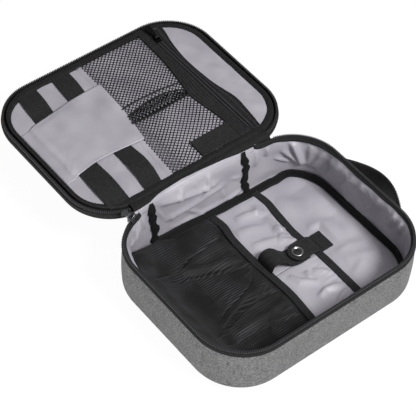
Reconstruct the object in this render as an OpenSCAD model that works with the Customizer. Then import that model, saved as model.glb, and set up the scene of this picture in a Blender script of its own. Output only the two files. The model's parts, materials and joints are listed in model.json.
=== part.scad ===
// Cable organizer pouch: a soft tray with a zip-round lid, shown laid open.
// Millimetres, +Z up, origin at the centre of the tray's base, +Y towards the hinge.
// The lid is drawn closed over the tray and then turned half a turn about the hinge line.

/* [Pouch] */
// Outside width of the tray, along the hinge
pouch_w = 250; // [230:1:290]
// Outside depth of the tray, from the front to the hinge
pouch_d = 200; // [190:1:240]
// Corner radius of the outline, seen from above
corner_r = 52; // [46:1:58]
// Height of the grey wall cloth
wall_h = 52; // [46:1:70]
// Height of the black zip band, from the wall cloth to the hinge line
band_h = 8; // [7:0.5:11]
// Thickness of the lid, from the hinge line to its outer face
lid_h = 14; // [13:0.5:20]
// Rounding of the tray's bottom edge
base_edge_r = 8; // [7:0.5:10]
// Rounding of the lid's outer edge
lid_edge_r = 6; // [5:0.5:7]

/* [Layers] */
// Thickness of the heather outer cloth
cloth_t = 1; // [0.8:0.1:1.4]
// Thickness of the foam in the tray wall
foam_t = 4; // [3:0.5:5]
// Thickness of the foam pad behind the lid's outer panel
lid_pad_t = 4; // [3:0.5:4.5]
// Thickness of the stiff board in the base
board_t = 2; // [1.5:0.5:3]
// Thickness of the satin lining
lining_t = 0.6; // [0.4:0.1:0.8]
// Thickness of woven tape, elastic and binding
tape_t = 1.2; // [1:0.1:1.4]
// Room between two sewn layers
sew_gap = 0.1; // [0.05:0.05:0.15]
// Height of cloth that a seam takes up
seam_h = 8; // [6:0.5:10]

/* [Hinge] */
// Distance from the side of the pouch to each end of the sewn hinge
hinge_in = 43; // [36:1:45]
// Cloth left free between the tray wall and the open lid
hinge_free = 4; // [3.5:0.1:5]
// Room kept on each side of the hinge line
hinge_clear = 0.2; // [0.15:0.05:0.3]

/* [Main zip] */
// Distance between teeth along the chain
tooth_pitch = 2; // [1.8:0.1:3]
// Length of a tooth along the chain
tooth_l = 1; // [0.8:0.1:1.2]
// Height of a tooth
tooth_h = 1.4; // [1.2:0.1:1.6]
// Reach of a tooth past each face of the tape
tooth_reach = 0.6; // [0.5:0.1:0.8]
// Opening between the two rows of teeth while the lid is shut but not zipped
chain_open = 1.6; // [1.5:0.1:2]
// Room between the parked slider and the end of the hinge
park_room = 3.5; // [3:0.1:6]

/* [Sliders] */
// Length of a slider
slider_l = 10; // [9:0.5:11]
// Height of a slider's plates
slider_h = 6; // [5.5:0.5:6]
// Thickness of a slider's plates
plate_t = 1.2; // [1:0.1:1.3]
// Room between the teeth and a slider's outer plate
slide_clear = 0.8; // [0.7:0.1:0.9]
// Radius of the pin that a pull hangs on
pin_r = 0.7; // [0.6:0.05:0.9]
// Radial room of a pull's eye on its pin
pin_clear = 0.08; // [0.05:0.01:0.1]
// Length of the main zip's six-sided pull, from its pin to its tip
hex_l = 7.2; // [6:0.1:7.4]
// Width of the six-sided pull across its corners
hex_w = 9; // [8:0.5:10]
// Length of the mesh zip's pull, from its pin to its tip
pull_l = 18; // [14:1:19]
// Width of the mesh zip's pull at its tip
pull_w = 7; // [5:0.5:8]
// Thickness of a pull
pull_t = 1.4; // [1:0.1:1.8]

/* [Tray floor] */
// Width of the tape that covers the floor seam
seam_tape_w = 9; // [7:0.5:11]
// Width of a pocket's elastic edge
pocket_edge_w = 8; // [6:0.5:10]
// Thickness of a pocket's elastic edge
pocket_edge_t = 1.8; // [1.4:0.1:2]
// Middle of the stretch pocket's edge, from the tray's middle
stretch_edge_x = 0; // [-10:1:8]
// Where the stretch pocket starts to climb the left wall, from the tray's middle
stretch_climb_x = -66; // [-70:1:-58]
// Distance from the top of the lining down to the stretch pocket's left edge
stretch_drop = 3; // [2:0.5:12]
// Middle of the satin pocket's edge, from the tray's middle
satin_edge_x = 55; // [50:1:64]
// Where the satin pocket's two panels meet, from the tray's middle
satin_split_y = -8; // [-10:1:-4]
// Height of the satin pockets and the stretch pocket above the floor seam tape
pocket_t = 1.2; // [1:0.1:1.4]
// Width of the ruched bands on the back wall
back_band_w = 8; // [6:0.5:10]
// Middle of the back wall's left band, from the tray's left side
back_band_left_in = 60; // [57:1:70]
// Middle of the back wall's right band, from the tray's right side
back_band_right_in = 77; // [65:1:85]

/* [Snap strap] */
// Width of the strap and its tab
strap_w = 22; // [18:1:24]
// Middle of the strap, from the tray's middle
strap_y = -1; // [-4:1:4]
// Thickness of the strap
strap_t = 1.4; // [1.2:0.1:1.6]
// Height of the strap's arch above its flat end
arch_rise = 9; // [8:0.5:11]
// Length of the strap's arch
arch_l = 26; // [24:1:28]
// Middle of the snap, from the middle of the stretch pocket's edge
snap_x = 38; // [37:0.5:39]
// Radius of the snap's cap
snap_cap_r = 6.2; // [5.5:0.1:6.8]
// Radius of the snap's post
snap_post_r = 2; // [1.8:0.1:2.2]
// Radial room of the post in its socket
snap_clear = 0.7; // [0.6:0.05:0.8]
// Length of the patch that holds the tab
patch_l = 14; // [12:1:18]

/* [Handle] */
// Height of the handle's webbing
handle_w = 26; // [22:1:28]
// Thickness of the handle
handle_t = 3; // [2.5:0.1:3.5]
// Distance between the handle's sewn ends
handle_span = 92; // [84:1:96]
// How far the handle stands off the wall
handle_rise = 20; // [18:1:24]
// Length of each sewn end
handle_end_l = 12; // [10:0.5:13]
// Distance from the top of the wall cloth down to the handle
handle_drop = 4; // [3:0.5:8]

/* [Lid inside] */
// Width of the black binding round the lid's lining
lid_binding_w = 8; // [7:0.5:9]
// Width of the black band along the hinge
hinge_band_w = 13; // [11:0.5:15]
// Width of an elastic loop
loop_w = 24; // [20:1:25]
// Middle of the outer loops, from the lid's left side
loop_outer_in = 42; // [39:1:45]
// Middle of the inner loops, from the lid's left side
loop_inner_in = 83; // [79:1:87]
// Far edge of the cover panel, from the far side of the lid
cover_far_in = 48; // [44:1:54]
// Near edge of the cover panel, from the hinge side of the lid
cover_near_b = 69; // [60:1:76]
// Length of a loop hidden under the cover panel
loop_tuck = 6; // [4:0.5:9]
// Left edge of the mesh, from the lid's left side
mesh_left_in = 115; // [112:1:118]
// Width of the satin hem beside the mesh
mesh_hem_w = 8; // [6:0.5:9]
// Middle of the mesh zip, from the lid's right side
mesh_zip_in = 50; // [49:0.5:52]
// Width of the mesh zip's tapes and chain together
mesh_zip_w = 30; // [26:1:31]
// Thickness of the mesh
mesh_t = 0.8; // [0.6:0.1:1]
// Width of a mesh strand
strand_w = 1.2; // [1:0.1:1.6]
// Gaps across the mesh
mesh_across = 10; // [6:1:10]
// Gaps along the mesh
mesh_along = 28; // [16:1:29]
// Near edge of the folded band in the mesh, from the hinge side of the lid
pleat_in = 90; // [84:1:100]
// Width of the folded band in the mesh
pleat_w = 22; // [18:1:26]
// Left edge of the elastic tab by the hinge, from the lid's middle
hinge_tab_x = 12; // [8:1:14]
// Length of the elastic tab along the hinge
hinge_tab_l = 46; // [36:1:46]
// Height of the elastic tab, from the hinge band
hinge_tab_w = 16; // [13:1:20]
// Distance of the mesh zip's slider from the far side of the lid
mesh_slider_in = 28; // [26:1:35]

/* [Hidden] */
$fn = 96;

// Colours as the photograph shows them
heather = "#8a8a8a";
satin = "#b3b0b8";
black_tape = "#2b2b2b";
black_knit = "#242426";
edge_grey = "#3f3f40";
foam_white = "#d8d8d4";
metal = "#b8b8ba";
gunmetal = "#55565a";

// Outline
run_x = pouch_w - 2 * corner_r;
run_y = pouch_d - 2 * corner_r;
hinge_z = wall_h + band_h;
hinge_y = pouch_d / 2 + hinge_free / 2;
foam_above_cloth = 2;
wall_top = wall_h + foam_above_cloth;
hem_lift = 0.3;
// How far a cutting shape runs past the face it cuts, and the step that slopes are taken over
cut = 1;
probe = 0.05;

// Depth of each wall layer, measured inwards from the outline
tape_out = cloth_t + sew_gap;
tape_in = tape_out + tape_t;
tape_mid = (tape_out + tape_in) / 2;
foam_out = cloth_t + sew_gap;
foam_in = foam_out + foam_t;
foam_low = base_edge_r + hem_lift;
lining_out = foam_in + sew_gap;
lining_in = lining_out + lining_t;

// Height of each floor layer
board_z = cloth_t + sew_gap;
floor_z = board_z + board_t + sew_gap;
floor_top = floor_z + lining_t;
pocket_z = floor_top + sew_gap;
pocket_top = pocket_z + pocket_t;

// Zip levels, the same above and below the hinge line
teeth_rise = chain_open / 2;
tape_rise = teeth_rise + tooth_h;
tooth_t = tape_t + 2 * tooth_reach;
seam_z = wall_h - seam_h;
tape_r = corner_r - tape_mid;
hinge_l = pouch_w - 2 * hinge_in;
hinge_angle = acos((corner_r - hinge_in) / corner_r);
zip_end_gap = 1.5;
park_angle = hinge_angle - (slider_l / 2 + park_room) / tape_r * 180 / PI;
// The lid's teeth stand half a pitch on from the tray's
row_shift = 0.5;

// Sliders
slider_taper = 0.7;
slider_end_h = slider_h * slider_taper;
post_l = 2.5;
post_inset = 0.5;
post_clear = 0.3;
outer_face = corner_r - tape_mid + tooth_t / 2 + slide_clear;
inner_room = 0.6;
inner_face = corner_r - tape_mid - tooth_t / 2 - inner_room;
lug_t = 1;
lug_room = 0.1;
eye_wall = 0.9;
eye_r = pin_r + eye_wall;
eye_w = 3;
eye_room = 0.3;
pin_x = outer_face + plate_t + eye_r + eye_room;
pin_rise = 0.5;
neck_l = 1.5;
hex_room = 0.3;
hex_rim = 1.1;
hex_dish = 0.4;

// Lid levels, measured up from the hinge line of the closed lid
slot_room = 1.6;
slot_top = slider_h / 2 + slot_room;
lid_step_u = 5.2;
binding_rise = 0.5;
lid_lining_rise = 1.2;
foam_face_rise = lid_lining_rise + lining_t + sew_gap;
loop_rise = lid_lining_rise - sew_gap - tape_t;
cover_rise = loop_rise - sew_gap - lining_t;
mesh_rise = cover_rise;
tab_rise = mesh_rise - sew_gap - tape_t;
lid_field_u = lid_step_u + lid_binding_w + sew_gap;
frame_lap = 4;

// Places along the lid and the back wall
back_band_left_x = back_band_left_in - pouch_w / 2;
back_band_right_x = pouch_w / 2 - back_band_right_in;
loop_outer_x = loop_outer_in - pouch_w / 2;
loop_inner_x = loop_inner_in - pouch_w / 2;
cover_far_b = pouch_d - cover_far_in;
mesh_x = mesh_left_in - pouch_w / 2;
mesh_zip_x = pouch_w / 2 - mesh_zip_in;
mesh_slider_b = pouch_d - mesh_slider_in;

// Mesh zip
coil_w = 2;
coil_open = 1.2;
mesh_right_x = mesh_zip_x - mesh_zip_w / 2 - sew_gap;
mesh_far_b = pouch_d - lid_field_u;
mesh_near_b = lid_step_u + hinge_band_w + sew_gap;

// Strap and snap levels
strap_root_l = 7;
eyelet_t = 0.8;
eyelet_r = 5;
flat_z = pocket_top + sew_gap + eyelet_t + sew_gap;
root_z = pocket_z + pocket_edge_t + sew_gap;
flange_z = flat_z + strap_t;
flange_t = 0.6;
post_h = 1.6;
socket_room = 0.3;
socket_z = flange_z + flange_t + socket_room;
socket_t = 1;
socket_r = 5.5;
bore_r = snap_post_r + snap_clear;
tab_z = socket_z + socket_t + sew_gap;
tab_t = 1.2;
cap_t = 1;
cap_dish = 0.5;
cap_rim = 2;
shank_wall = 0.5;
cap_shank_r = bore_r + shank_wall;
shank_room = 0.1;
strap_end = 8;
tab_tip = 10;
tab_gap = 0.3;
tab_root_l = 2;
tab_lift = 0.4;
tab_axis_x = satin_edge_x + pocket_edge_w / 2 + tab_root_l;
tab_axis_z = pocket_z + tape_t + tab_lift;
tab_edge_x = satin_edge_x + pocket_edge_w / 2 + tab_gap;
tab_edge_z = pocket_z + pocket_edge_t + tab_gap;
tab_knee_x = satin_edge_x - pocket_edge_w / 2;
snap_mid_x = stretch_edge_x + snap_x;

// Plan outlines and sweeps

// The outline drawn in by a distance
module outline(inset) {
    r = corner_r - inset;
    square([run_x, run_y + 2 * r], center = true);
    square([run_x + 2 * r, run_y], center = true);
    for (sx = [-1, 1], sy = [-1, 1])
        translate([sx * run_x / 2, sy * run_y / 2])
            circle(r);
}

module plate(inset, z, h) {
    translate([0, 0, z])
        linear_extrude(h)
            outline(inset);
}

// A flat ring between two depths
module ring(outer, inner, z, h) {
    translate([0, 0, z])
        linear_extrude(h)
            difference() {
                outline(outer);
                outline(inner);
            }
}

// Sweeps a wall profile round the outline; x is the way out of the outline and y is up
module sweep() {
    for (k = [0:3]) {
        reach = k % 2 == 0 ? pouch_w / 2 : pouch_d / 2;
        run = k % 2 == 0 ? run_y : run_x;
        rotate(90 * k)
            translate([reach, run / 2, 0])
                rotate([90, 0, 0])
                    linear_extrude(run)
                        children();
        sx = k == 0 || k == 3 ? 1 : -1;
        sy = k < 2 ? 1 : -1;
        translate([sx * run_x / 2, sy * run_y / 2, 0])
            rotate(90 * k)
                rotate_extrude(angle = 90)
                    translate([corner_r, 0])
                        children();
    }
}

// The space over the sewn hinge, at the back of the outline
module hinge_zone(low, high) {
    translate([-hinge_l / 2, run_y / 2, low])
        cube([hinge_l, corner_r + hinge_free, high - low]);
}

// Turns the closed lid half a turn about the hinge line
module opened() {
    translate([0, 2 * hinge_y, 2 * hinge_z])
        rotate([180, 0, 0])
            children();
}

// Lid pieces are placed by their distance b from the hinge side
function lid_y(b) = pouch_d / 2 - b;

// A flat piece on the lid's inner face, trimmed to the lined field
module lid_sheet(x0, x1, b0, b1, rise, t) {
    translate([0, 0, hinge_z + rise])
        linear_extrude(t)
            intersection() {
                outline(lid_field_u);
                translate([x0, lid_y(b1)])
                    square([x1 - x0, b1 - b0]);
            }
}

// Zip chain

half_front = run_x / 2;
corner_run = tape_r * PI / 2;
end_angle = hinge_angle - zip_end_gap / tape_r * 180 / PI;
half_chain = half_front + corner_run + run_y + tape_r * end_angle * PI / 180;
tooth_n = floor(2 * half_chain / tooth_pitch - row_shift);

// A point of the right half of the chain, at a run s from the front's middle and a depth u
function half_point(s, u) =
    let (r = corner_r - u)
    let (a = (s - half_front) / tape_r * 180 / PI)
    let (c = (s - half_front - corner_run - run_y) / tape_r * 180 / PI)
    s < half_front ? [s, -pouch_d / 2 + u]
    : s < half_front + corner_run ? [half_front + r * sin(a), -run_y / 2 - r * cos(a)]
    : s < half_front + corner_run + run_y ? [pouch_w / 2 - u, s - half_front - corner_run - run_y / 2]
    : [half_front + r * cos(c), run_y / 2 + r * sin(c)];

function chain_point(s, u) =
    let (p = half_point(abs(s), u))
    [s < 0 ? -p[0] : p[0], p[1]];

// Direction of the chain at a run s, seen from above
function chain_angle(s) =
    let (ahead = chain_point(s + probe, tape_mid))
    let (behind = chain_point(s - probe, tape_mid))
    atan2(ahead[1] - behind[1], ahead[0] - behind[0]);

// A row of separate teeth along the edge of its tape
module teeth_row(shift, z) {
    for (i = [0 : tooth_n - 1]) {
        s = (i + shift - (tooth_n - row_shift) / 2) * tooth_pitch;
        translate(concat(chain_point(s, tape_mid), z))
            rotate(chain_angle(s))
                translate([-tooth_l / 2, -tooth_t / 2, 0])
                    cube([tooth_l, tooth_t, tooth_h]);
    }
}

function reversed(list) = [for (i = [len(list) - 1 : -1 : 0]) list[i]];

// Wall profiles

// A layer of cloth that runs down the wall and turns in under the base
module turned_layer(depth, t, edge_r, low, top) {
    translate([-depth - t, low + edge_r])
        square([t, top - low - edge_r]);
    translate([-edge_r, low + edge_r])
        intersection() {
            difference() {
                circle(edge_r - depth);
                circle(edge_r - depth - t);
            }
            translate([0, -edge_r])
                square(edge_r);
        }
}

module strip_profile(out, in, low, high) {
    translate([-in, low])
        square([in - out, high - low]);
}

// Tray shell

module base_panel() {
    color(heather)
        plate(base_edge_r + sew_gap, 0, cloth_t);
}

module wall_cloth() {
    color(heather)
        sweep()
            turned_layer(0, cloth_t, base_edge_r, hem_lift, wall_h);
}

// Foam with a round foot, cut back at the top for the zip tape
module wall_foam() {
    color(foam_white)
        sweep() {
            difference() {
                union() {
                    strip_profile(foam_out, foam_in, foam_low, wall_top);
                    intersection() {
                        translate([-base_edge_r, foam_low])
                            circle(base_edge_r - foam_out);
                        strip_profile(foam_out, foam_in, pocket_z, foam_low);
                    }
                }
                strip_profile(0, tape_in + sew_gap, seam_z - sew_gap, wall_top + cut);
            }
        }
}

module base_board() {
    color(foam_white)
        plate(base_edge_r + sew_gap, board_z, board_t);
}

module wall_lining() {
    color(satin)
        ring(lining_out, lining_in, pocket_z, wall_top - pocket_z);
}

module floor_lining() {
    color(satin)
        plate(lining_out, floor_z, lining_t);
}

module floor_seam_tape() {
    color(black_tape)
        ring(lining_in + sew_gap, lining_in + sew_gap + seam_tape_w, pocket_z, tape_t);
}

// A ruched band up the inside of the back wall
module back_band(x) {
    low = pocket_z + tape_t + sew_gap;
    translate([x - back_band_w / 2, pouch_d / 2 - lining_in - sew_gap - tape_t, low])
        cube([back_band_w, tape_t, wall_top - low]);
}

module back_band_left() {
    color(black_tape)
        back_band(back_band_left_x);
}

module back_band_right() {
    color(black_tape)
        back_band(back_band_right_x);
}

// Tray pockets

// A flat panel inside the floor seam tape, between two places along X and along Y
module floor_sheet(x0, x1, y0, y1, t) {
    translate([0, 0, pocket_z])
        linear_extrude(t)
            intersection() {
                outline(lining_in + sew_gap + seam_tape_w + sew_gap);
                translate([x0, y0])
                    square([x1 - x0, y1 - y0]);
            }
}

pocket_left = stretch_edge_x + pocket_edge_w / 2 + sew_gap;
pocket_right = satin_edge_x - pocket_edge_w / 2 - sew_gap;

stretch_right = stretch_edge_x - pocket_edge_w / 2 - sew_gap;
stretch_climb_l = pouch_w / 2 - lining_in + stretch_climb_x;
stretch_rise = wall_top - pocket_top - stretch_drop;
stretch_over_x = stretch_climb_x
    - stretch_climb_l * sqrt((tape_t + pocket_t + 2 * sew_gap) / stretch_rise);
stretch_steps = 20;

// Height of the stretch pocket's middle layer, flat on the floor and then up the left wall
function stretch_mid(x) =
    let (climb = max(0, stretch_climb_x - x) / stretch_climb_l)
    pocket_z + pocket_t / 2 + stretch_rise * pow(climb, 2);

function stretch_face(side) = [
    for (i = [0 : stretch_steps])
        let (x = stretch_climb_x - stretch_climb_l * i / stretch_steps)
        let (slope = atan((stretch_mid(x + probe) - stretch_mid(x - probe)) / (2 * probe)))
        [x - side * sin(slope) * pocket_t / 2, stretch_mid(x) + side * cos(slope) * pocket_t / 2]
];

// A knit sheet from its elastic edge on the floor up to the top of the left wall
module stretch_pocket() {
    right_end = [[stretch_right, pocket_top], [stretch_right, pocket_z]];
    color(black_knit)
        intersection() {
            translate([0, pouch_d / 2, 0])
                rotate([90, 0, 0])
                    linear_extrude(pouch_d)
                        polygon(concat(right_end, stretch_face(-1), reversed(stretch_face(1))));
            linear_extrude(wall_top) {
                outline(lining_in + sew_gap + seam_tape_w + sew_gap);
                intersection() {
                    outline(lining_in + sew_gap);
                    translate([-pouch_w / 2, -pouch_d / 2])
                        square([pouch_w / 2 + stretch_over_x, pouch_d]);
                }
            }
        }
}

module stretch_pocket_edge() {
    color(edge_grey)
        floor_sheet(stretch_edge_x - pocket_edge_w / 2, stretch_edge_x + pocket_edge_w / 2,
                    -pouch_d / 2, pouch_d / 2, pocket_edge_t);
}

module satin_pocket_rear() {
    color(satin)
        floor_sheet(pocket_left, pocket_right, satin_split_y + sew_gap / 2, pouch_d / 2, pocket_t);
}

module satin_pocket_front() {
    color(satin)
        floor_sheet(pocket_left, pocket_right, -pouch_d / 2, satin_split_y - sew_gap / 2, pocket_t);
}

module satin_pocket_edge() {
    color(edge_grey)
        floor_sheet(satin_edge_x - pocket_edge_w / 2, satin_edge_x + pocket_edge_w / 2,
                    -pouch_d / 2, pouch_d / 2, pocket_edge_t);
}

// Main zip and hinge

module tray_zip_tape() {
    color(black_tape)
        difference() {
            ring(tape_out, tape_in, seam_z, hinge_z - tape_rise - seam_z);
            hinge_zone(seam_z - cut, hinge_z);
        }
}

module tray_zip_teeth() {
    color(gunmetal)
        teeth_row(0, hinge_z - tape_rise);
}

// The half of the hinge cloth that belongs to one side, with its leaf ending at the fold
module hinge_half(foot, top) {
    leaf_y = pouch_d / 2 - foam_in;
    end_room = zip_end_gap / 2;
    translate([0, 0, foot])
        linear_extrude(top - foot)
            intersection() {
                difference() {
                    outline(tape_out);
                    outline(tape_in);
                }
                translate([-hinge_l / 2 + end_room, run_y / 2])
                    square([hinge_l - 2 * end_room, corner_r]);
            }
    translate([-hinge_l / 2 + end_room, leaf_y, top])
        cube([hinge_l - 2 * end_room, hinge_y - hinge_clear - leaf_y, tape_t]);
}

module tray_hinge_cloth() {
    color(black_tape)
        hinge_half(seam_z, hinge_z - hinge_clear - tape_t);
}

// Snap strap

// Height of the strap's middle line: flat root, arch, flat end
function strap_mid(x) =
    let (t = (x - stretch_edge_x - strap_root_l / 2) / arch_l)
    let (low = t < 0 ? root_z : t > 1 ? flat_z : root_z + (flat_z - root_z) * t)
    low + strap_t / 2 + (t < 0 || t > 1 ? 0 : arch_rise * pow(sin(180 * t), 2));

strap_x0 = stretch_edge_x - strap_root_l / 2;
strap_x1 = snap_mid_x + strap_end;
strap_steps = 44;

function strap_at(i) = strap_x0 + (strap_x1 - strap_x0) * i / strap_steps;

function strap_face(side) = [
    for (i = [0 : strap_steps])
        let (x = strap_at(i))
        let (slope = atan((strap_mid(x + probe) - strap_mid(x - probe)) / (2 * probe)))
        [x - side * sin(slope) * strap_t / 2, strap_mid(x) + side * cos(slope) * strap_t / 2]
];

module snap_strap() {
    color(black_tape)
        difference() {
            translate([0, strap_y + strap_w / 2, 0])
                rotate([90, 0, 0])
                    linear_extrude(strap_w)
                        polygon(concat(strap_face(1), reversed(strap_face(-1))));
            translate([snap_mid_x, strap_y, flat_z - cut])
                cylinder(r = snap_post_r + shank_room, h = strap_t + 2 * cut);
        }
}

// Post, flange and eyelet of the snap's lower half, clamped through the strap
module snap_stud() {
    color(metal)
        translate([snap_mid_x, strap_y, 0]) {
            translate([0, 0, flat_z - sew_gap - eyelet_t])
                cylinder(r = eyelet_r, h = eyelet_t);
            translate([0, 0, flat_z - sew_gap])
                cylinder(r = snap_post_r, h = flange_z + flange_t + post_h - flat_z + sew_gap);
            translate([0, 0, flange_z])
                cylinder(r = eyelet_r, h = flange_t);
        }
}

module tab_patch() {
    color(black_tape)
        translate([tab_axis_x + tab_gap, strap_y - strap_w / 2, pocket_z])
            cube([patch_l, strap_w, tape_t]);
}

// The tab from its sewn edge over the pocket edge to the snap, with a round tip
module snap_tab() {
    tip_r = strap_w / 2;
    color(black_tape)
        difference() {
            intersection() {
                translate([0, strap_y + strap_w / 2, 0])
                    rotate([90, 0, 0])
                        linear_extrude(strap_w)
                            polygon([
                                [tab_axis_x, tab_axis_z - tab_t / 2],
                                [tab_axis_x, tab_axis_z + tab_t / 2],
                                [tab_edge_x, tab_edge_z + tab_t],
                                [tab_knee_x, tab_z + tab_t],
                                [snap_mid_x - tab_tip, tab_z + tab_t],
                                [snap_mid_x - tab_tip, tab_z],
                                [tab_knee_x, tab_z],
                                [tab_edge_x, tab_edge_z]
                            ]);
                translate([0, 0, tab_axis_z - tab_t])
                    linear_extrude(tab_z + tab_t) {
                        translate([snap_mid_x - tab_tip + tip_r, strap_y])
                            circle(tip_r);
                        translate([snap_mid_x - tab_tip + tip_r, strap_y - tip_r])
                            square([pouch_w / 2, strap_w]);
                    }
            }
            translate([snap_mid_x, strap_y, tab_z - cut])
                cylinder(r = cap_shank_r + shank_room, h = tab_t + 2 * cut);
        }
}

module snap_socket() {
    color(metal)
        translate([snap_mid_x, strap_y, socket_z])
            difference() {
                cylinder(r = socket_r, h = socket_t);
                translate([0, 0, -cut])
                    cylinder(r = bore_r, h = socket_t + 2 * cut);
            }
}

// Dished cap whose hollow shank passes through the tab to the socket
module snap_cap() {
    color(metal)
        translate([snap_mid_x, strap_y, 0])
            difference() {
                union() {
                    translate([0, 0, tab_z + tab_t])
                        cylinder(r = snap_cap_r, h = cap_t);
                    translate([0, 0, socket_z + socket_t])
                        cylinder(r = cap_shank_r, h = tab_z + tab_t - socket_z - socket_t);
                }
                translate([0, 0, tab_z + tab_t + cap_t - cap_dish])
                    cylinder(r = snap_cap_r - cap_rim, h = cap_dish + cut);
                translate([0, 0, socket_z])
                    cylinder(r = bore_r, h = tab_z + tab_t - socket_z);
            }
}

// Handle

// Distance of the handle's middle line from the wall
function handle_out(y) =
    let (t = min(1, abs(y) / (handle_span / 2)))
    handle_t / 2 + sew_gap + handle_rise * cos(90 * t);

handle_steps = 40;
handle_half = handle_span / 2 + handle_end_l;

function handle_face(side) = [
    for (i = [0 : handle_steps])
        let (y = handle_half * (2 * i / handle_steps - 1))
        let (slope = atan((handle_out(y + probe) - handle_out(y - probe)) / (2 * probe)))
        [
            pouch_w / 2 + handle_out(y) + side * cos(slope) * handle_t / 2,
            y - side * sin(slope) * handle_t / 2
        ]
];

module side_handle() {
    color(black_tape)
        translate([0, 0, wall_h - handle_drop - handle_w])
            linear_extrude(handle_w)
                polygon(concat(handle_face(1), reversed(handle_face(-1))));
}

// Main slider

// Tapered plate of a slider, drawn along X and up Y
module slider_plate() {
    polygon([
        [-slider_l / 2, -slider_end_h / 2],
        [0, -slider_h / 2],
        [slider_l / 2, -slider_h / 2],
        [slider_l / 2, slider_h / 2],
        [0, slider_h / 2],
        [-slider_l / 2, slider_end_h / 2]
    ]);
}

// Places a piece at the parked slider of the left back corner
module parked() {
    mirror([1, 0, 0])
        translate([run_x / 2, run_y / 2, hinge_z])
            rotate(park_angle)
                children();
}

// Stands a drawing of the slider's side up, facing out of the corner with its narrow end to the hinge
module facing_out(face, t) {
    translate([face, 0, 0])
        rotate([90, 0, 90])
            linear_extrude(t)
                mirror([1, 0])
                    children();
}

module left_slider() {
    color(gunmetal)
        parked() {
            facing_out(outer_face, plate_t)
                slider_plate();
            facing_out(inner_face - plate_t, plate_t)
                slider_plate();
            translate([inner_face, post_inset - slider_l / 2, -(teeth_rise - post_clear)])
                cube([outer_face - inner_face, post_l, 2 * (teeth_rise - post_clear)]);
            for (side = [-1, 1])
                translate([outer_face + plate_t, side * (eye_w / 2 + lug_room + lug_t / 2) - lug_t / 2, 0])
                    slider_lug();
            translate([pin_x, eye_w / 2 + lug_room + lug_t, pin_rise])
                rotate([90, 0, 0])
                    cylinder(r = pin_r, h = eye_w + 2 * lug_room + 2 * lug_t);
        }
}

// A round-nosed lug that carries one end of the pull's pin
module slider_lug() {
    reach = pin_x - outer_face - plate_t;
    translate([0, lug_t, pin_rise])
        rotate([90, 0, 0])
            linear_extrude(lug_t) {
                translate([0, -eye_r])
                    square([reach, 2 * eye_r]);
                translate([reach, 0])
                    circle(eye_r);
            }
}

// A pull hanging from its pin: an eye with the outline of a neck and a tab, given as children
module pull_on_pin() {
    difference() {
        union() {
            rotate([90, 0, 0])
                cylinder(r = eye_r, h = eye_w, center = true);
            translate([-pull_t / 2, 0, 0])
                rotate([90, 0, 90])
                    linear_extrude(pull_t)
                        children();
        }
        rotate([90, 0, 0])
            cylinder(r = pin_r + pin_clear, h = eye_w + 2 * cut, center = true);
    }
}

// Six-sided tab of the main pull, drawn down from its pin
module hex_tab() {
    top = eye_r + hex_room;
    polygon([
        [hex_w / 4, -top],
        [hex_w / 2, -(top + hex_l) / 2],
        [hex_w / 4, -hex_l],
        [-hex_w / 4, -hex_l],
        [-hex_w / 2, -(top + hex_l) / 2],
        [-hex_w / 4, -top]
    ]);
}

// The six-sided pull lies flat, away from the slider, with a dished middle on its upper face
module left_pull() {
    color(gunmetal)
        parked()
            translate([pin_x, 0, pin_rise])
                rotate([0, -90, 0])
                    difference() {
                        pull_on_pin() {
                            hex_tab();
                            translate([-eye_w / 2, -eye_r - hex_room - cut])
                                square([eye_w, eye_r + hex_room + cut]);
                        }
                        translate([pull_t / 2 - hex_dish, 0, 0])
                            rotate([90, 0, 90])
                                linear_extrude(hex_dish + cut)
                                    offset(delta = -hex_rim)
                                        hex_tab();
                    }
}

// Lid shell

module lid_panel() {
    color(heather)
        opened()
            plate(lid_edge_r + sew_gap, hinge_z + lid_h - cloth_t, cloth_t);
}

// Black cloth round the lid's side, turned in under the outer panel
module lid_side_band() {
    color(black_tape)
        opened()
            translate([0, 0, hinge_z + lid_h])
                mirror([0, 0, 1])
                    sweep()
                        turned_layer(0, cloth_t, lid_edge_r, 0, lid_h - slot_top);
}

// Foam pad behind the outer panel, with a stepped frame that carries the lining's edge
module lid_foam() {
    top = lid_h - cloth_t - sew_gap;
    shoulder = lid_h - lid_edge_r;
    frame_in = lid_field_u + frame_lap;
    color(foam_white)
        opened()
            translate([0, 0, hinge_z]) {
                plate(lid_edge_r + sew_gap, top - lid_pad_t, lid_pad_t);
                ring(lid_edge_r + sew_gap, frame_in, shoulder, top - shoulder);
                ring(tape_in + sew_gap, frame_in, slot_top, shoulder - slot_top);
                ring(lid_step_u, frame_in, foam_face_rise, slot_top - foam_face_rise);
            }
}

module lid_lining() {
    color(satin)
        opened()
            plate(lid_field_u, hinge_z + lid_lining_rise, lining_t);
}

module lid_binding() {
    color(black_tape)
        opened()
            ring(lid_step_u, lid_field_u - sew_gap, hinge_z + binding_rise,
                 foam_face_rise - sew_gap - binding_rise);
}

// Wide black band beside the hinge, sewn over the lining's edge
module lid_hinge_band() {
    color(black_tape)
        opened()
            lid_sheet(-pouch_w / 2, pouch_w / 2, lid_field_u, lid_step_u + hinge_band_w,
                      loop_rise, tape_t);
}

module lid_zip_tape() {
    color(black_tape)
        opened()
            difference() {
                ring(tape_out, tape_in, hinge_z + tape_rise, lid_h - lid_edge_r - tape_rise);
                hinge_zone(hinge_z, hinge_z + lid_h);
            }
}

module lid_zip_teeth() {
    color(gunmetal)
        opened()
            teeth_row(row_shift, hinge_z + teeth_rise);
}

module lid_hinge_cloth() {
    color(black_tape)
        opened()
            translate([0, 0, 2 * hinge_z])
                mirror([0, 0, 1])
                    hinge_half(hinge_z - lid_h + lid_edge_r, hinge_z - hinge_clear - tape_t);
}

// Lid pockets and loops

module elastic_loop(x, b0, b1) {
    color(black_tape)
        opened()
            lid_sheet(x - loop_w / 2, x + loop_w / 2, b0, b1, loop_rise, tape_t);
}

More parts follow.
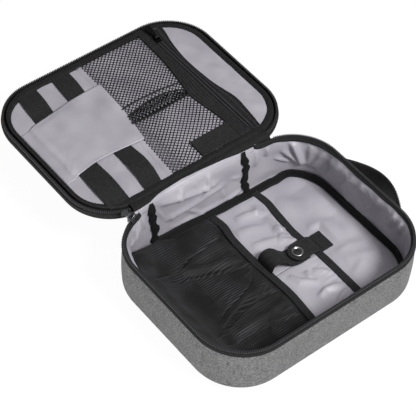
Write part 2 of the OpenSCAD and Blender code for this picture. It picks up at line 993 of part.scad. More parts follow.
loop_near_b = lid_step_u + hinge_band_w + sew_gap;

module loop_far_outer() {
    elastic_loop(loop_outer_x, cover_far_b - loop_tuck, mesh_far_b);
}

module loop_far_inner() {
    elastic_loop(loop_inner_x, cover_far_b - loop_tuck, mesh_far_b);
}

module loop_near_outer() {
    elastic_loop(loop_outer_x, loop_near_b, cover_near_b + loop_tuck);
}

module loop_near_inner() {
    elastic_loop(loop_inner_x, loop_near_b, cover_near_b + loop_tuck);
}

module cover_panel() {
    color(satin)
        opened()
            lid_sheet(-pouch_w / 2, mesh_x - mesh_hem_w - sew_gap, cover_near_b, cover_far_b,
                      cover_rise, lining_t);
}

module mesh_hem() {
    color(satin)
        opened()
            lid_sheet(mesh_x - mesh_hem_w, mesh_x - sew_gap, mesh_near_b, mesh_far_b,
                      loop_rise, tape_t);
}

// Net of strands; the gaps are an even grid inside a plain edge
module mesh_pocket() {
    w = mesh_right_x - mesh_x;
    l = mesh_far_b - mesh_near_b;
    step_x = (w - strand_w) / mesh_across;
    step_y = (l - strand_w) / mesh_along;
    color(black_knit)
        opened()
            translate([mesh_x, lid_y(mesh_far_b), hinge_z + mesh_rise])
                linear_extrude(mesh_t)
                    difference() {
                        square([w, l]);
                        for (i = [0 : mesh_across - 1], j = [0 : mesh_along - 1])
                            translate([strand_w + i * step_x, strand_w + j * step_y])
                                square([step_x - strand_w, step_y - strand_w]);
                    }
}

module mesh_pleat() {
    color(black_knit)
        opened()
            lid_sheet(mesh_x, mesh_right_x, pleat_in, pleat_in + pleat_w,
                      mesh_rise - sew_gap - mesh_t, mesh_t);
}

module mesh_zip_tape_left() {
    color(black_tape)
        opened()
            lid_sheet(mesh_zip_x - mesh_zip_w / 2, mesh_zip_x - coil_open / 2 - coil_w,
                      mesh_near_b, mesh_far_b, mesh_rise, mesh_t);
}

module mesh_zip_tape_right() {
    color(black_tape)
        opened()
            lid_sheet(mesh_zip_x + coil_open / 2 + coil_w, mesh_zip_x + mesh_zip_w / 2,
                      mesh_near_b, mesh_far_b, mesh_rise, mesh_t);
}

// One coil of the mesh zip, a cord with a tooth at every pitch towards the other coil
module mesh_coil(side, low, high) {
    n = floor((high - low) / tooth_pitch);
    root = coil_w / 2;
    teeth = [
        for (i = [0 : n - 1])
            each [
                [root, low + i * tooth_pitch],
                [root, low + (i + 1) * tooth_pitch - tooth_l],
                [0, low + (i + 1) * tooth_pitch - tooth_l],
                [0, low + (i + 1) * tooth_pitch]
            ]
    ];
    scale([side, 1])
        translate([coil_open / 2, 0])
            polygon(concat(teeth, [[coil_w, low + n * tooth_pitch], [coil_w, low]]));
}

module mesh_zip_coils() {
    reach = mesh_zip_x + coil_open / 2 + coil_w - run_x / 2;
    field_r = corner_r - lid_field_u;
    far_y = run_y / 2 + sqrt(field_r * field_r - reach * reach);
    color(black_knit)
        opened()
            translate([mesh_zip_x, 0, hinge_z + mesh_rise])
                linear_extrude(mesh_t)
                    for (side = [-1, 1])
                        mesh_coil(side, -far_y, lid_y(mesh_near_b));
}

module side_pocket_panel() {
    color(satin)
        opened()
            lid_sheet(mesh_zip_x + mesh_zip_w / 2 + sew_gap, pouch_w / 2, mesh_near_b, mesh_far_b,
                      cover_rise, lining_t);
}

module hinge_tab() {
    color(black_tape)
        opened()
            lid_sheet(hinge_tab_x, hinge_tab_x + hinge_tab_l, lid_step_u + lid_binding_w + sew_gap,
                      lid_step_u + hinge_band_w + hinge_tab_w, tab_rise, tape_t);
}

// Mesh zip slider

mesh_slide_clear = 0.3;
mesh_plate_t = 0.7;
mesh_pin_drop = mesh_rise - mesh_slide_clear - plate_t - eye_r - eye_room;

module at_mesh_slider() {
    translate([mesh_zip_x, lid_y(mesh_slider_b), hinge_z])
        children();
}

module flat_plate(z, t) {
    translate([0, 0, z])
        rotate(90)
            linear_extrude(t)
                slider_plate();
}

module mesh_slider() {
    under = mesh_rise + mesh_t + mesh_slide_clear;
    face = mesh_rise - mesh_slide_clear;
    color(gunmetal)
        opened()
            at_mesh_slider() {
                flat_plate(under, mesh_plate_t);
                flat_plate(face - plate_t, plate_t);
                translate([-(coil_open / 2 - post_clear), slider_l / 2 - post_l - post_inset, face])
                    cube([coil_open - 2 * post_clear, post_l, under - face]);
                for (side = [-1, 1])
                    translate([side * (eye_w / 2 + lug_room + lug_t / 2) - lug_t / 2, 0, face - plate_t])
                        rotate([0, 90, 0])
                            mesh_lug();
                translate([0, 0, mesh_pin_drop])
                    rotate([0, 90, 0])
                        cylinder(r = pin_r, h = eye_w + 2 * lug_room + 2 * lug_t, center = true);
            }
}

// A lug under the closed lid's slider, drawn out along X
module mesh_lug() {
    reach = mesh_rise - mesh_slide_clear - plate_t - mesh_pin_drop;
    linear_extrude(lug_t) {
        translate([0, -eye_r])
            square([reach, 2 * eye_r]);
        translate([reach, 0])
            circle(eye_r);
    }
}

module mesh_pull() {
    color(gunmetal)
        opened()
            at_mesh_slider()
                translate([0, 0, mesh_pin_drop])
                    rotate([0, 0, 90])
                        rotate([0, 90, 0])
                            pull_on_pin()
                                polygon([
                                    [-eye_w / 2, 0],
                                    [eye_w / 2, 0],
                                    [eye_w / 2, -eye_r - neck_l],
                                    [pull_w / 2, -pull_l + pull_w / 4],
                                    [pull_w / 4, -pull_l],
                                    [-pull_w / 4, -pull_l],
                                    [-pull_w / 2, -pull_l + pull_w / 4],
                                    [-eye_w / 2, -eye_r - neck_l]
                                ]);
}

base_panel();
wall_cloth();
wall_foam();
base_board();
wall_lining();
floor_lining();
floor_seam_tape();
back_band_left();
back_band_right();
stretch_pocket();
stretch_pocket_edge();
satin_pocket_rear();
satin_pocket_front();
satin_pocket_edge();
tray_zip_tape();
tray_zip_teeth();
tray_hinge_cloth();
snap_strap();
snap_stud();
tab_patch();
side_handle();
snap_tab();
snap_socket();
snap_cap();
left_slider();
left_pull();
lid_panel();
lid_side_band();
lid_foam();
lid_lining();
lid_binding();
lid_hinge_band();
lid_zip_tape();
lid_zip_teeth();
lid_hinge_cloth();
loop_far_outer();
loop_far_inner();
loop_near_outer();
loop_near_inner();
cover_panel();
mesh_hem();
mesh_pocket();
mesh_pleat();
mesh_zip_tape_left();
mesh_zip_tape_right();
mesh_zip_coils();
side_pocket_panel();
hinge_tab();
mesh_slider();
mesh_pull();
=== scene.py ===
"""Looks of a cable organizer pouch that lies open: a soft tray with its lid behind it."""

import json
import math

import bmesh
import bpy
import numpy as np
from mathutils import Matrix, Vector, noise


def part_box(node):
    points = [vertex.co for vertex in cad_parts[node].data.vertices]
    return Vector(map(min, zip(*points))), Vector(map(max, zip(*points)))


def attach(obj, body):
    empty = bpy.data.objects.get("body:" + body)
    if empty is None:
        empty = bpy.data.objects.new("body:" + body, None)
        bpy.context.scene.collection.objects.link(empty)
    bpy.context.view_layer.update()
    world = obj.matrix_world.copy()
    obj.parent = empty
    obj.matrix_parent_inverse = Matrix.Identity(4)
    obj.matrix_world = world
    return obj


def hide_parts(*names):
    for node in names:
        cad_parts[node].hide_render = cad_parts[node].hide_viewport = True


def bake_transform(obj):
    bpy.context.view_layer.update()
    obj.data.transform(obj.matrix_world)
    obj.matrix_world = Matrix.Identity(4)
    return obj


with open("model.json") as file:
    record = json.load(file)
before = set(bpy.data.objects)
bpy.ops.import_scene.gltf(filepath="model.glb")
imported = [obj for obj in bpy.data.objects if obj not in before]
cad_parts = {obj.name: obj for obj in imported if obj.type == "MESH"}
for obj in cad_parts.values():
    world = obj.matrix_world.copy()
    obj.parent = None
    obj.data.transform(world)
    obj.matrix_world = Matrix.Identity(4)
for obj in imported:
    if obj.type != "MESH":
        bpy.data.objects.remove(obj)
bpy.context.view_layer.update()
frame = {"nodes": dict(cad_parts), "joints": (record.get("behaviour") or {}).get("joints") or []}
NODES = frame["nodes"]
MM = 0.001


def top_of(node):
    """Height of a node's top."""
    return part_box(node)[1].z


def middle_of(node):
    """Middle of a node's box."""
    return (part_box(node)[0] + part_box(node)[1]) / 2


# Sizes of the pouch, in metres
CORNER = 52 * MM
HALF_W, HALF_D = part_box("wall_cloth")[1].xy
RUN_X, RUN_Y = HALF_W - CORNER, HALF_D - CORNER
HINGE_Y, HINGE_Z = next(j["pos_m"] for j in frame["joints"] if j["name"] == "lid_hinge")[1:]
LID_Y = 2 * HINGE_Y
HINGE_HALF = HALF_W - 43 * MM
ARC = CORNER * math.pi / 2
ROUND = 4 * (RUN_X + RUN_Y + ARC)
FLOOR = top_of("floor_lining")
POCKET = top_of("satin_pocket_rear")
LID_FIELD = 12.8 * MM  # inset of the lid's field, inside its binding
UP = np.array([0.0, 0.0, 1.0])


# Colours and nodes


def linear(code):
    """An sRGB hex colour as linear RGBA."""
    parts = [int(code[i : i + 2], 16) / 255 for i in (1, 3, 5)]
    curve = [c / 12.92 if c <= 0.04045 else ((c + 0.055) / 1.055) ** 2.4 for c in parts]
    return (*curve, 1.0)


def add(tree, kind, settings=None, sockets=None):
    """Adds a node: an output given for a socket is linked, any other value is set on it."""
    made = tree.nodes.new(kind)
    for key, value in (settings or {}).items():
        setattr(made, key, value)
    for key, value in (sockets or {}).items():
        if isinstance(value, bpy.types.NodeSocket):
            tree.links.new(value, made.inputs[key])
        else:
            made.inputs[key].default_value = value
    return made


def blank_finish(name):
    """A node material that is still empty, and its tree."""
    made = bpy.data.materials.new(name)
    made.use_nodes = True
    made.node_tree.nodes.clear()
    return made, made.node_tree


def closed(made, sockets):
    """The material, ended in one shader with these sockets."""
    shader = add(made.node_tree, "ShaderNodeBsdfPrincipled", sockets=sockets)
    add(made.node_tree, "ShaderNodeOutputMaterial", sockets={"Surface": shader.outputs["BSDF"]})
    return made


def object_place(tree):
    """Places on an object, in metres."""
    return add(tree, "ShaderNodeTexCoord").outputs["Object"]


def cloth_place(tree):
    """Places across and along a cloth, in metres, from its UV map."""
    return add(tree, "ShaderNodeUVMap", {"uv_map": "UVMap"}).outputs[0]


def grain(tree, where, size_mm, detail, roughness=0.5):
    """Noise with grains this many millimetres wide."""
    sockets = {"Vector": where, "Scale": 1 / (size_mm * MM), "Detail": detail, "Roughness": roughness}
    return add(tree, "ShaderNodeTexNoise", sockets=sockets).outputs["Fac"]


def bands(pitch_mm):
    """Scale of a wave texture whose bands are this many millimetres apart."""
    return 2 * math.pi / 20 / (pitch_mm * MM)


def remapped(tree, value, low, high, to_low=0.0, to_high=1.0):
    """A value between two limits, spread over another range."""
    sockets = {"Value": value, "From Min": low, "From Max": high, "To Min": to_low, "To Max": to_high}
    return add(tree, "ShaderNodeMapRange", sockets=sockets).outputs[0]


def worked(tree, operation, *values):
    """What one operation makes of a few values."""
    return add(tree, "ShaderNodeMath", {"operation": operation}, dict(enumerate(values))).outputs[0]


def two_tone(tree, share, low, high):
    """A colour between two hex colours."""
    ends = {0: share, 6: linear(low), 7: linear(high)}
    return add(tree, "ShaderNodeMix", {"data_type": "RGBA"}, ends).outputs[2]


def relief(tree, height, strength, depth_mm):
    """Normals of a surface that a texture raises."""
    sockets = {"Height": height, "Strength": strength, "Distance": depth_mm * MM}
    return add(tree, "ShaderNodeBump", sockets=sockets).outputs[0]


# Finishes


def heather_polyester():
    """Melange polyester, piece-dyed in two greys: flecked yarns, no shine, a short nap."""
    made, tree = blank_finish("heather_polyester")
    where = object_place(tree)
    flat = add(tree, "ShaderNodeMapping", sockets={"Vector": where, "Scale": (1, 1, 1.9)}).outputs[0]
    yarn = remapped(tree, grain(tree, flat, 2.1, 6.0, 0.7), 0.36, 0.64)
    cloud = remapped(tree, grain(tree, where, 8, 3.0), 0.3, 0.7, -0.1, 0.1)
    share = worked(tree, "ADD", yarn, cloud)
    # Threads are 0.5 mm apart on the real cloth, and are drawn at 1 mm so that they show
    thread = grain(tree, flat, 1.0, 2.0)
    return closed(made, {"Base Color": two_tone(tree, share, "#404041", "#8F8F8E"),
                         "Normal": relief(tree, thread, 0.5, 0.5), "Roughness": 0.9, "Sheen Weight": 0.1})


def satin_lining():
    """Polyester satin: smooth floats catching the light on every fold, over lilac-grey with painted shade."""
    made, tree = blank_finish("satin_lining")
    where = object_place(tree)
    # Broad 30 mm mottling in the lilac-grey is painted shade: it stands for the soft shadows of folds
    lilac_mottled_with_painted_shade = two_tone(tree, grain(tree, where, 30, 1.0), "#98949F", "#C4C1C8")
    # The satin's floats are about 0.3 mm wide, and are drawn at 1.2 mm so that they show
    turn = add(tree, "ShaderNodeMapping", sockets={"Vector": where, "Rotation": (0.0, 0.0, 0.9)})
    floats = add(tree, "ShaderNodeTexWave", sockets={"Vector": turn.outputs[0], "Scale": bands(1.2),
                                                     "Distortion": 2.0, "Detail": 2.0})
    shade = add(tree, "ShaderNodeMix", {"data_type": "RGBA", "blend_type": "MULTIPLY"},
                {0: 0.07, 6: lilac_mottled_with_painted_shade, 7: floats.outputs["Color"]})
    crease = grain(tree, where, 6, 3.0, 0.6)
    return closed(made, {"Base Color": shade.outputs[2], "Normal": relief(tree, crease, 0.2, 1.2),
                         "Roughness": 0.42, "Sheen Weight": 0.1, "Specular IOR Level": 0.45})


def woven_black(name, low, high, pitch_mm, rib_depth, roughness):
    """Black polyester tape, woven with a rib along its length: dull, with a grey bloom on the ribs."""
    made, tree = blank_finish(name)
    rib = add(tree, "ShaderNodeTexWave",
              sockets={"Vector": cloth_place(tree), "Scale": bands(pitch_mm), "Distortion": 0.6,
                       "Detail": 1.0, "Detail Scale": 2.0})
    fuzz = grain(tree, object_place(tree), 2.2, 4.0)
    both = worked(tree, "MULTIPLY_ADD", rib.outputs["Fac"], 0.45, fuzz)
    shade = two_tone(tree, remapped(tree, both, 0.35, 1.1), low, high)
    return closed(made, {"Base Color": shade, "Normal": relief(tree, both, rib_depth, 0.6),
                         "Roughness": roughness, "Sheen Weight": 0.03, "Specular IOR Level": 0.2})


def stretch_knit():
    """Elastane warp knit: matt black with fine pale wales that spread where it is pulled."""
    made, tree = blank_finish("stretch_knit")
    uv = cloth_place(tree)
    # Wales are 1 mm apart on the real knit, and are drawn at 2.6 mm so that they show
    wave = add(tree, "ShaderNodeTexWave", {"bands_direction": "Y"},
               {"Vector": uv, "Scale": bands(2.6), "Distortion": 0.9, "Detail": 2.0, "Detail Scale": 0.5})
    wale = wave.outputs["Fac"]
    pulled = remapped(tree, grain(tree, uv, 30, 2.0), 0.38, 0.64)
    share = worked(tree, "MULTIPLY", worked(tree, "POWER", wale, 3.0), pulled)
    return closed(made, {"Base Color": two_tone(tree, share, "#101011", "#3F3F42"),
                         "Normal": relief(tree, wale, 0.25, 0.5), "Roughness": 0.68, "Sheen Weight": 0.05,
                         "Specular IOR Level": 0.27})


def dull_yarn(name, low, high, roughness=0.7):
    """Spun polyester yarn, as in net and sewing thread: dull, a little uneven in tone."""
    made, tree = blank_finish(name)
    shade = two_tone(tree, grain(tree, object_place(tree), 4, 3.0), low, high)
    return closed(made, {"Base Color": shade, "Roughness": roughness, "Specular IOR Level": 0.3})


def moulded_nylon():
    """Injection-moulded black nylon: an even satin shine, rubbed a little paler in places."""
    made, tree = blank_finish("moulded_nylon")
    wear = grain(tree, object_place(tree), 1.6, 2.0)
    return closed(made, {"Base Color": two_tone(tree, wear, "#1E1E20", "#444447"),
                         "Roughness": remapped(tree, wear, 0, 1, 0.32, 0.5), "IOR": 1.53})


def plated_metal(name, low, high, rough_low, rough_high):
    """Die-cast zinc with a thin plating: soft reflections, fine casting grain and handling marks."""
    made, tree = blank_finish(name)
    where = object_place(tree)
    mark = grain(tree, where, 2.5, 4.0)
    return closed(made, {"Base Color": two_tone(tree, mark, low, high),
                         "Roughness": remapped(tree, mark, 0, 1, rough_low, rough_high),
                         "Normal": relief(tree, grain(tree, where, 0.5, 2.0), 0.08, 0.2), "Metallic": 1.0})


HEATHER = heather_polyester()
SATIN = satin_lining()
TAPE = woven_black("woven_tape", "#0E0E0F", "#282829", 1.6, 0.4, 0.75)
SEAM_TAPE = woven_black("seam_tape", "#070708", "#181819", 1.6, 0.4, 0.8)
ELASTIC = woven_black("ribbed_elastic", "#141415", "#313132", 1.9, 0.5, 0.7)
EDGE = woven_black("foldover_elastic", "#141415", "#303032", 1.5, 0.4, 0.75)
ZIP_TAPE = woven_black("knitted_zip_tape", "#0E0E0F", "#313133", 3.2, 0.9, 0.72)
KNIT = stretch_knit()
NET = dull_yarn("polyester_net", "#0F0F10", "#232325")
THREAD = dull_yarn("black_thread", "#202021", "#474748", 0.6)
PALE_THREAD = dull_yarn("lilac_thread", "#8F8C98", "#B5B2BC", 0.6)
NYLON = moulded_nylon()
GUNMETAL = plated_metal("gunmetal_plate", "#6C6D71", "#8C8D91", 0.34, 0.5)
BLACK_METAL = plated_metal("black_oxide_plate", "#1E1E20", "#363638", 0.34, 0.5)
NICKEL = plated_metal("nickel_plate", "#A8A8AA", "#CACACC", 0.18, 0.3)
# Darker nickel for the snap's dished middle: a painted dark reflection, not a different finish
NICKEL_PAINTED_DARK = plated_metal("nickel_painted_dark_reflection", "#4A4A4B", "#6A6A6C", 0.3, 0.45)


# Outline of the pouch


def outline(runs, inset, z, mid_y=0.0):
    """Points at these runs round the outline, from the middle of the back to the left, and the ways out."""
    legs = [
        (RUN_X, (0, RUN_Y), (-1, 0), (0, 1)), (ARC, (-RUN_X, RUN_Y), None, 90),
        (2 * RUN_Y, (-RUN_X, RUN_Y), (0, -1), (-1, 0)), (ARC, (-RUN_X, -RUN_Y), None, 180),
        (2 * RUN_X, (-RUN_X, -RUN_Y), (1, 0), (0, -1)), (ARC, (RUN_X, -RUN_Y), None, 270),
        (2 * RUN_Y, (RUN_X, -RUN_Y), (0, 1), (1, 0)), (ARC, (RUN_X, RUN_Y), None, 0),
        (RUN_X, (RUN_X, RUN_Y), (-1, 0), (0, 1)),
    ]
    runs = np.mod(np.asarray(runs, float), ROUND)
    centre, out = np.zeros((len(runs), 2)), np.zeros((len(runs), 2))
    start = 0.0
    for length, corner, ahead, facing in legs:
        on = (runs >= start - 1e-9) & (runs <= start + length + 1e-9)
        along = runs[on] - start
        if ahead is None:
            angle = math.radians(facing) + along / CORNER
            centre[on] = corner
            out[on] = np.stack([np.cos(angle), np.sin(angle)], 1)
        else:
            centre[on] = np.array(corner) + np.outer(along, ahead)
            out[on] = facing
        start += length
    flat = centre + out * (CORNER - np.broadcast_to(inset, len(runs)))[:, None]
    points = np.column_stack([flat[:, 0], flat[:, 1] + mid_y, np.broadcast_to(z, len(runs))])
    return points, np.column_stack([out, np.zeros(len(runs))])


def half_depth(x, inset):
    """Half the outline's depth at a place along it."""
    past = np.maximum(np.abs(x) - RUN_X, 0)
    return RUN_Y + np.sqrt(np.maximum((CORNER - inset) ** 2 - past**2, 0))


# Meshes


def unit(v):
    """Rows of numbers, each made one long."""
    return v / np.maximum(np.linalg.norm(v, axis=-1, keepdims=True), 1e-12)


def ripple(a, b, seed):
    """Smooth noise over two running lengths, each already divided by its own grain."""
    a, b = np.broadcast_arrays(np.asarray(a, float), np.asarray(b, float))
    flat = [noise.noise((p, q, seed * 7.31)) for p, q in zip(a.ravel(), b.ravel())]
    return np.array(flat).reshape(a.shape)


def crumple(x, y, grain_mm, seed):
    """Smooth noise over a cloth whose lumps are this many millimetres wide."""
    return ripple(x / (grain_mm * MM), y / (grain_mm * MM), seed)


def heading(path):
    """Unit steps along a path."""
    return unit(np.gradient(path, axis=0))


def spread_folds(seed, count, low, high, angle, spread, length, width, height):
    """Fold lines strewn over a piece of cloth: a width, a height and two ends each, in millimetres."""
    strewn = np.random.default_rng(seed)
    lines = []
    for _ in range(count):
        middle = strewn.uniform(low, high)
        way = math.radians(angle + spread * strewn.standard_normal())
        half = strewn.uniform(*length) / 2 * np.array([math.cos(way), math.sin(way)])
        lines.append((strewn.uniform(*width), strewn.uniform(*height), middle - half, middle + half))
    return lines


def fold_height(a, b, lines):
    """Height of folded cloth: along each line a ridge, steep on one side, that dies away at its ends."""
    total = np.zeros(np.broadcast(a, b).shape)
    for width, height, *points in lines:
        points = np.array(points) * MM
        nearest, off, place = np.full(total.shape, 9.0), np.zeros(total.shape), np.zeros(total.shape)
        start = 0.0
        for point, leg in zip(points, np.diff(points, axis=0)):
            length = np.hypot(*leg)
            t = np.clip(((a - point[0]) * leg[0] + (b - point[1]) * leg[1]) / length**2, 0, 1)
            gap_a, gap_b = a - point[0] - t * leg[0], b - point[1] - t * leg[1]
            far = np.hypot(gap_a, gap_b)
            closer = far < nearest
            nearest = np.where(closer, far, nearest)
            off = np.where(closer, far * np.sign(gap_a * leg[1] - gap_b * leg[0]), off)
            place = np.where(closer, start + t * length, place)
            start += length
        t = place / start
        reach = width * MM * np.where(off > 0, 1.0, 0.5)
        total += height * MM * np.exp(-((off / reach) ** 2)) * (4 * t * (1 - t)) ** 0.7
    return total


def mesh_object(name, vertices, faces, uv):
    """A smooth object from points, faces and the UV places of their corners, with its faces outwards."""
    mesh = bpy.data.meshes.new(name)
    mesh.from_pydata([tuple(v) for v in vertices], [], [tuple(f) for f in faces])
    layer = mesh.uv_layers.new(name="UVMap")
    layer.data.foreach_set("uv", np.array([place for corners in uv for place in corners], np.float32).ravel())
    work = bmesh.new()
    work.from_mesh(mesh)
    bmesh.ops.recalc_face_normals(work, faces=work.faces)
    work.to_mesh(mesh)
    work.free()
    mesh.shade_smooth()
    made = bpy.data.objects.new(name, mesh)
    bpy.context.scene.collection.objects.link(made)
    return made


def running(points):
    """Running lengths along a line of points."""
    return np.concatenate([[0], np.cumsum(np.linalg.norm(np.diff(points, axis=0), axis=1))])


def runs_of(grid):
    """Running lengths across and along a grid of points, from its middle row and column."""
    rows, columns = grid.shape[:2]
    return running(grid[rows // 2]), running(grid[:, columns // 2])


def quads(u, v, columns, rows, round_columns=False, round_rows=False):
    """Faces between the points of a grid, and a UV place for each corner of each face."""
    faces, uv = [], []
    for j in range(rows if round_rows else rows - 1):
        n = (j + 1) % rows
        for i in range(columns if round_columns else columns - 1):
            k = (i + 1) % columns
            faces.append((j * columns + i, j * columns + k, n * columns + k, n * columns + i))
            uv.append([(u[i], v[j]), (u[i + 1], v[j]), (u[i + 1], v[j + 1]), (u[i], v[j + 1])])
    return faces, uv


def facing(grid, wrap=False):
    """Unit normals of a grid of points."""
    if wrap:
        wide = np.roll(grid, -1, 1) - np.roll(grid, 1, 1)
    else:
        wide = np.gradient(grid, axis=1)
    return unit(np.cross(wide, np.gradient(grid, axis=0)))


def cloth(name, grid, thickness, wrap=False, towards=UP):
    """A cloth whose upper face follows a grid of points, with its thickness below them and closed edges."""
    rows, columns = grid.shape[:2]
    normal = facing(grid, wrap)
    if (normal * towards).sum() < 0:
        normal = -normal
    under = grid - normal * thickness
    vertices = np.concatenate([grid.reshape(-1, 3), under.reshape(-1, 3)])
    u, v = runs_of(grid)
    u = np.append(u, u[-1] + np.linalg.norm(grid[rows // 2, 0] - grid[rows // 2, -1]))
    size = rows * columns
    faces, uv = quads(u, v, columns, rows, wrap)
    faces += [[size + k for k in face[::-1]] for face in faces]
    uv += [corners[::-1] for corners in uv]
    rim = []
    for i in range(columns if wrap else columns - 1):
        k = (i + 1) % columns
        rim += [((i, 0), (k, 0), (i, i + 1)), ((k, rows - 1), (i, rows - 1), (i + 1, i))]
    if not wrap:
        for j in range(rows - 1):
            last = columns - 1
            rim += [((0, j + 1), (0, j), (0, 0)), ((last, j), (last, j + 1), (last, last))]
    for (i0, j0), (i1, j1), (ua, ub) in rim:
        a, b = j0 * columns + i0, j1 * columns + i1
        faces.append((b, a, size + a, size + b))
        uv.append([(u[ub], v[j1]), (u[ua], v[j0]), (u[ua], v[j0]), (u[ub], v[j1])])
    return mesh_object(name, vertices, faces, uv)


def strip(name, path, across, up, profile, wrap=False):
    """A closed profile swept along a path: a webbing, a tape or a binding."""
    path, across, up = (np.asarray(x, float) for x in (path, across, up))
    profile = np.asarray(profile, float)
    if profile.ndim == 2:
        profile = np.broadcast_to(profile, (len(path), *profile.shape))
    grid = path[:, None] + across[:, None] * profile[..., :1] + up[:, None] * profile[..., 1:]
    rows, columns = grid.shape[:2]
    u, v = (running(np.concatenate([line, line[:1]])) for line in (profile[0], path))
    faces, uv = quads(u, v, columns, rows, True, wrap)
    if not wrap:
        for j, order in ((0, -1), (rows - 1, 1)):
            ends = range(columns)[::order]
            faces.append([j * columns + i for i in ends])
            uv.append([(u[i], v[j]) for i in ends])
    return mesh_object(name, grid.reshape(-1, 3), faces, uv)


def webbing(width, thickness, points=22, square=5.0):
    """Cross-section of a flat webbing with round edges."""
    angle = np.linspace(0, 2 * math.pi, points, endpoint=False) + math.pi / points
    c, s = np.cos(angle), np.sin(angle)
    power = 2 / square
    return np.column_stack([width / 2 * np.sign(c) * np.abs(c) ** power,
                            thickness / 2 * np.sign(s) * np.abs(s) ** 0.7])


def smooth_path(points, count):
    """A path of evenly spread points along a smooth curve through a few."""
    points = np.asarray(points, float)
    place = running(points)
    slope = np.gradient(points, place, axis=0)
    out = []
    for t in np.linspace(0, place[-1], count):
        i = min(np.searchsorted(place, t, side="right") - 1, len(points) - 2)
        h = place[i + 1] - place[i]
        w = (t - place[i]) / h
        a, b = 2 * w**3 - 3 * w**2 + 1, w**3 - 2 * w**2 + w
        out.append(a * points[i] + b * h * slope[i] + (1 - a) * points[i + 1]
                   + (w**3 - w**2) * h * slope[i + 1])
    return np.array(out)


def ease(x, low, high):
    """A smooth step from 0 to 1."""
    t = np.clip((x - low) / (high - low), 0, 1)
    return t * t * (3 - 2 * t)


# Putting a piece in its place

SEAMS = {}


def put(piece, body, look, slot, *nodes):
    """Gives a piece its finish and makes it move with a body in place of CAD nodes."""
    piece.data.materials.clear()
    piece.data.materials.append(look)
    if body:
        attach(piece, body)
    if nodes:
        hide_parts(*nodes)
    return piece


def sew(body, thread, path):
    """Notes a line of stitches along a path."""
    SEAMS.setdefault((body, thread), []).append(np.asarray(path, float))


def geometry_tree(name, **inputs):
    """An empty geometry tree with its named inputs, each with its kind, and the node that gives them."""
    tree = bpy.data.node_groups.new(name, "GeometryNodeTree")
    tree.interface.new_socket("Geometry", in_out="INPUT", socket_type="NodeSocketGeometry")
    for title, kind in inputs.items():
        tree.interface.new_socket(title, in_out="INPUT", socket_type=f"NodeSocket{kind}")
    tree.interface.new_socket("Geometry", in_out="OUTPUT", socket_type="NodeSocketGeometry")
    return tree, add(tree, "NodeGroupInput")


def stitch_tree():
    """Thread stitches set along lines, each turned along its line."""
    tree, given = geometry_tree("thread_stitches", Pitch="Float", Length="Float", Radius="Float",
                                Thread="Material")
    line = add(tree, "GeometryNodeMeshToCurve", sockets={0: given.outputs["Geometry"]})
    points = add(tree, "GeometryNodeCurveToPoints", {"mode": "LENGTH"}, {"Curve": line.outputs[0],
                                                                         "Length": given.outputs["Pitch"]})
    turn = add(tree, "FunctionNodeAlignRotationToVector", {"axis": "X"},
               {"Vector": points.outputs["Tangent"]})
    size = add(tree, "ShaderNodeCombineXYZ",
               sockets={"X": given.outputs["Length"], "Y": given.outputs["Radius"],
                        "Z": given.outputs["Radius"]})
    bead = add(tree, "GeometryNodeMeshUVSphere", sockets={"Segments": 6, "Rings": 4, "Radius": 1.0})
    many = add(tree, "GeometryNodeInstanceOnPoints", sockets={"Points": points.outputs["Points"],
                                                              "Instance": bead.outputs["Mesh"],
                                                              "Rotation": turn.outputs[0],
                                                              "Scale": size.outputs[0]})
    real = add(tree, "GeometryNodeRealizeInstances", sockets={0: many.outputs[0]})
    painted = add(tree, "GeometryNodeSetMaterial", sockets={"Geometry": real.outputs[0],
                                                            "Material": given.outputs["Thread"]})
    add(tree, "NodeGroupOutput", sockets={0: painted.outputs[0]})
    return tree


def net_tree():
    """Round strands along the edges of a lattice."""
    tree, given = geometry_tree("net_strands", Strand="Float", Yarn="Material")
    line = add(tree, "GeometryNodeMeshToCurve", sockets={0: given.outputs["Geometry"]})
    section = add(tree, "GeometryNodeCurvePrimitiveCircle",
                  sockets={"Resolution": 4, "Radius": given.outputs["Strand"]})
    tube = add(tree, "GeometryNodeCurveToMesh",
               sockets={"Curve": line.outputs[0], "Profile Curve": section.outputs[0]})
    real = add(tree, "GeometryNodeRealizeInstances", sockets={0: tube.outputs[0]})
    painted = add(tree, "GeometryNodeSetMaterial",
                  sockets={"Geometry": real.outputs[0], "Material": given.outputs["Yarn"]})
    add(tree, "NodeGroupOutput", sockets={0: painted.outputs[0]})
    return tree


def grown(name, vertices, edges, tree, **inputs):
    """Runs a geometry tree on a set of lines and keeps the plain mesh that it makes."""
    mesh = bpy.data.meshes.new(name + "_lines")
    mesh.from_pydata([tuple(p) for p in vertices], [tuple(e) for e in edges], [])
    lines = bpy.data.objects.new(name + "_lines", mesh)
    bpy.context.scene.collection.objects.link(lines)
    modifier = lines.modifiers.new("growth", "NODES")
    modifier.node_group = tree
    for item in tree.interface.items_tree:
        if item.in_out == "INPUT" and item.name in inputs:
            modifier[item.identifier] = inputs[item.name]
    ready = lines.evaluated_get(bpy.context.evaluated_depsgraph_get())
    plain = bpy.data.meshes.new_from_object(ready)
    lines.modifiers.remove(modifier)
    bpy.data.objects.remove(lines)
    bpy.data.meshes.remove(mesh)
    plain.name = name
    made = bpy.data.objects.new(name, plain)
    bpy.context.scene.collection.objects.link(made)
    plain.shade_smooth()
    return made


# Camera and studio


PICTURE = 416  # pixels across the photograph


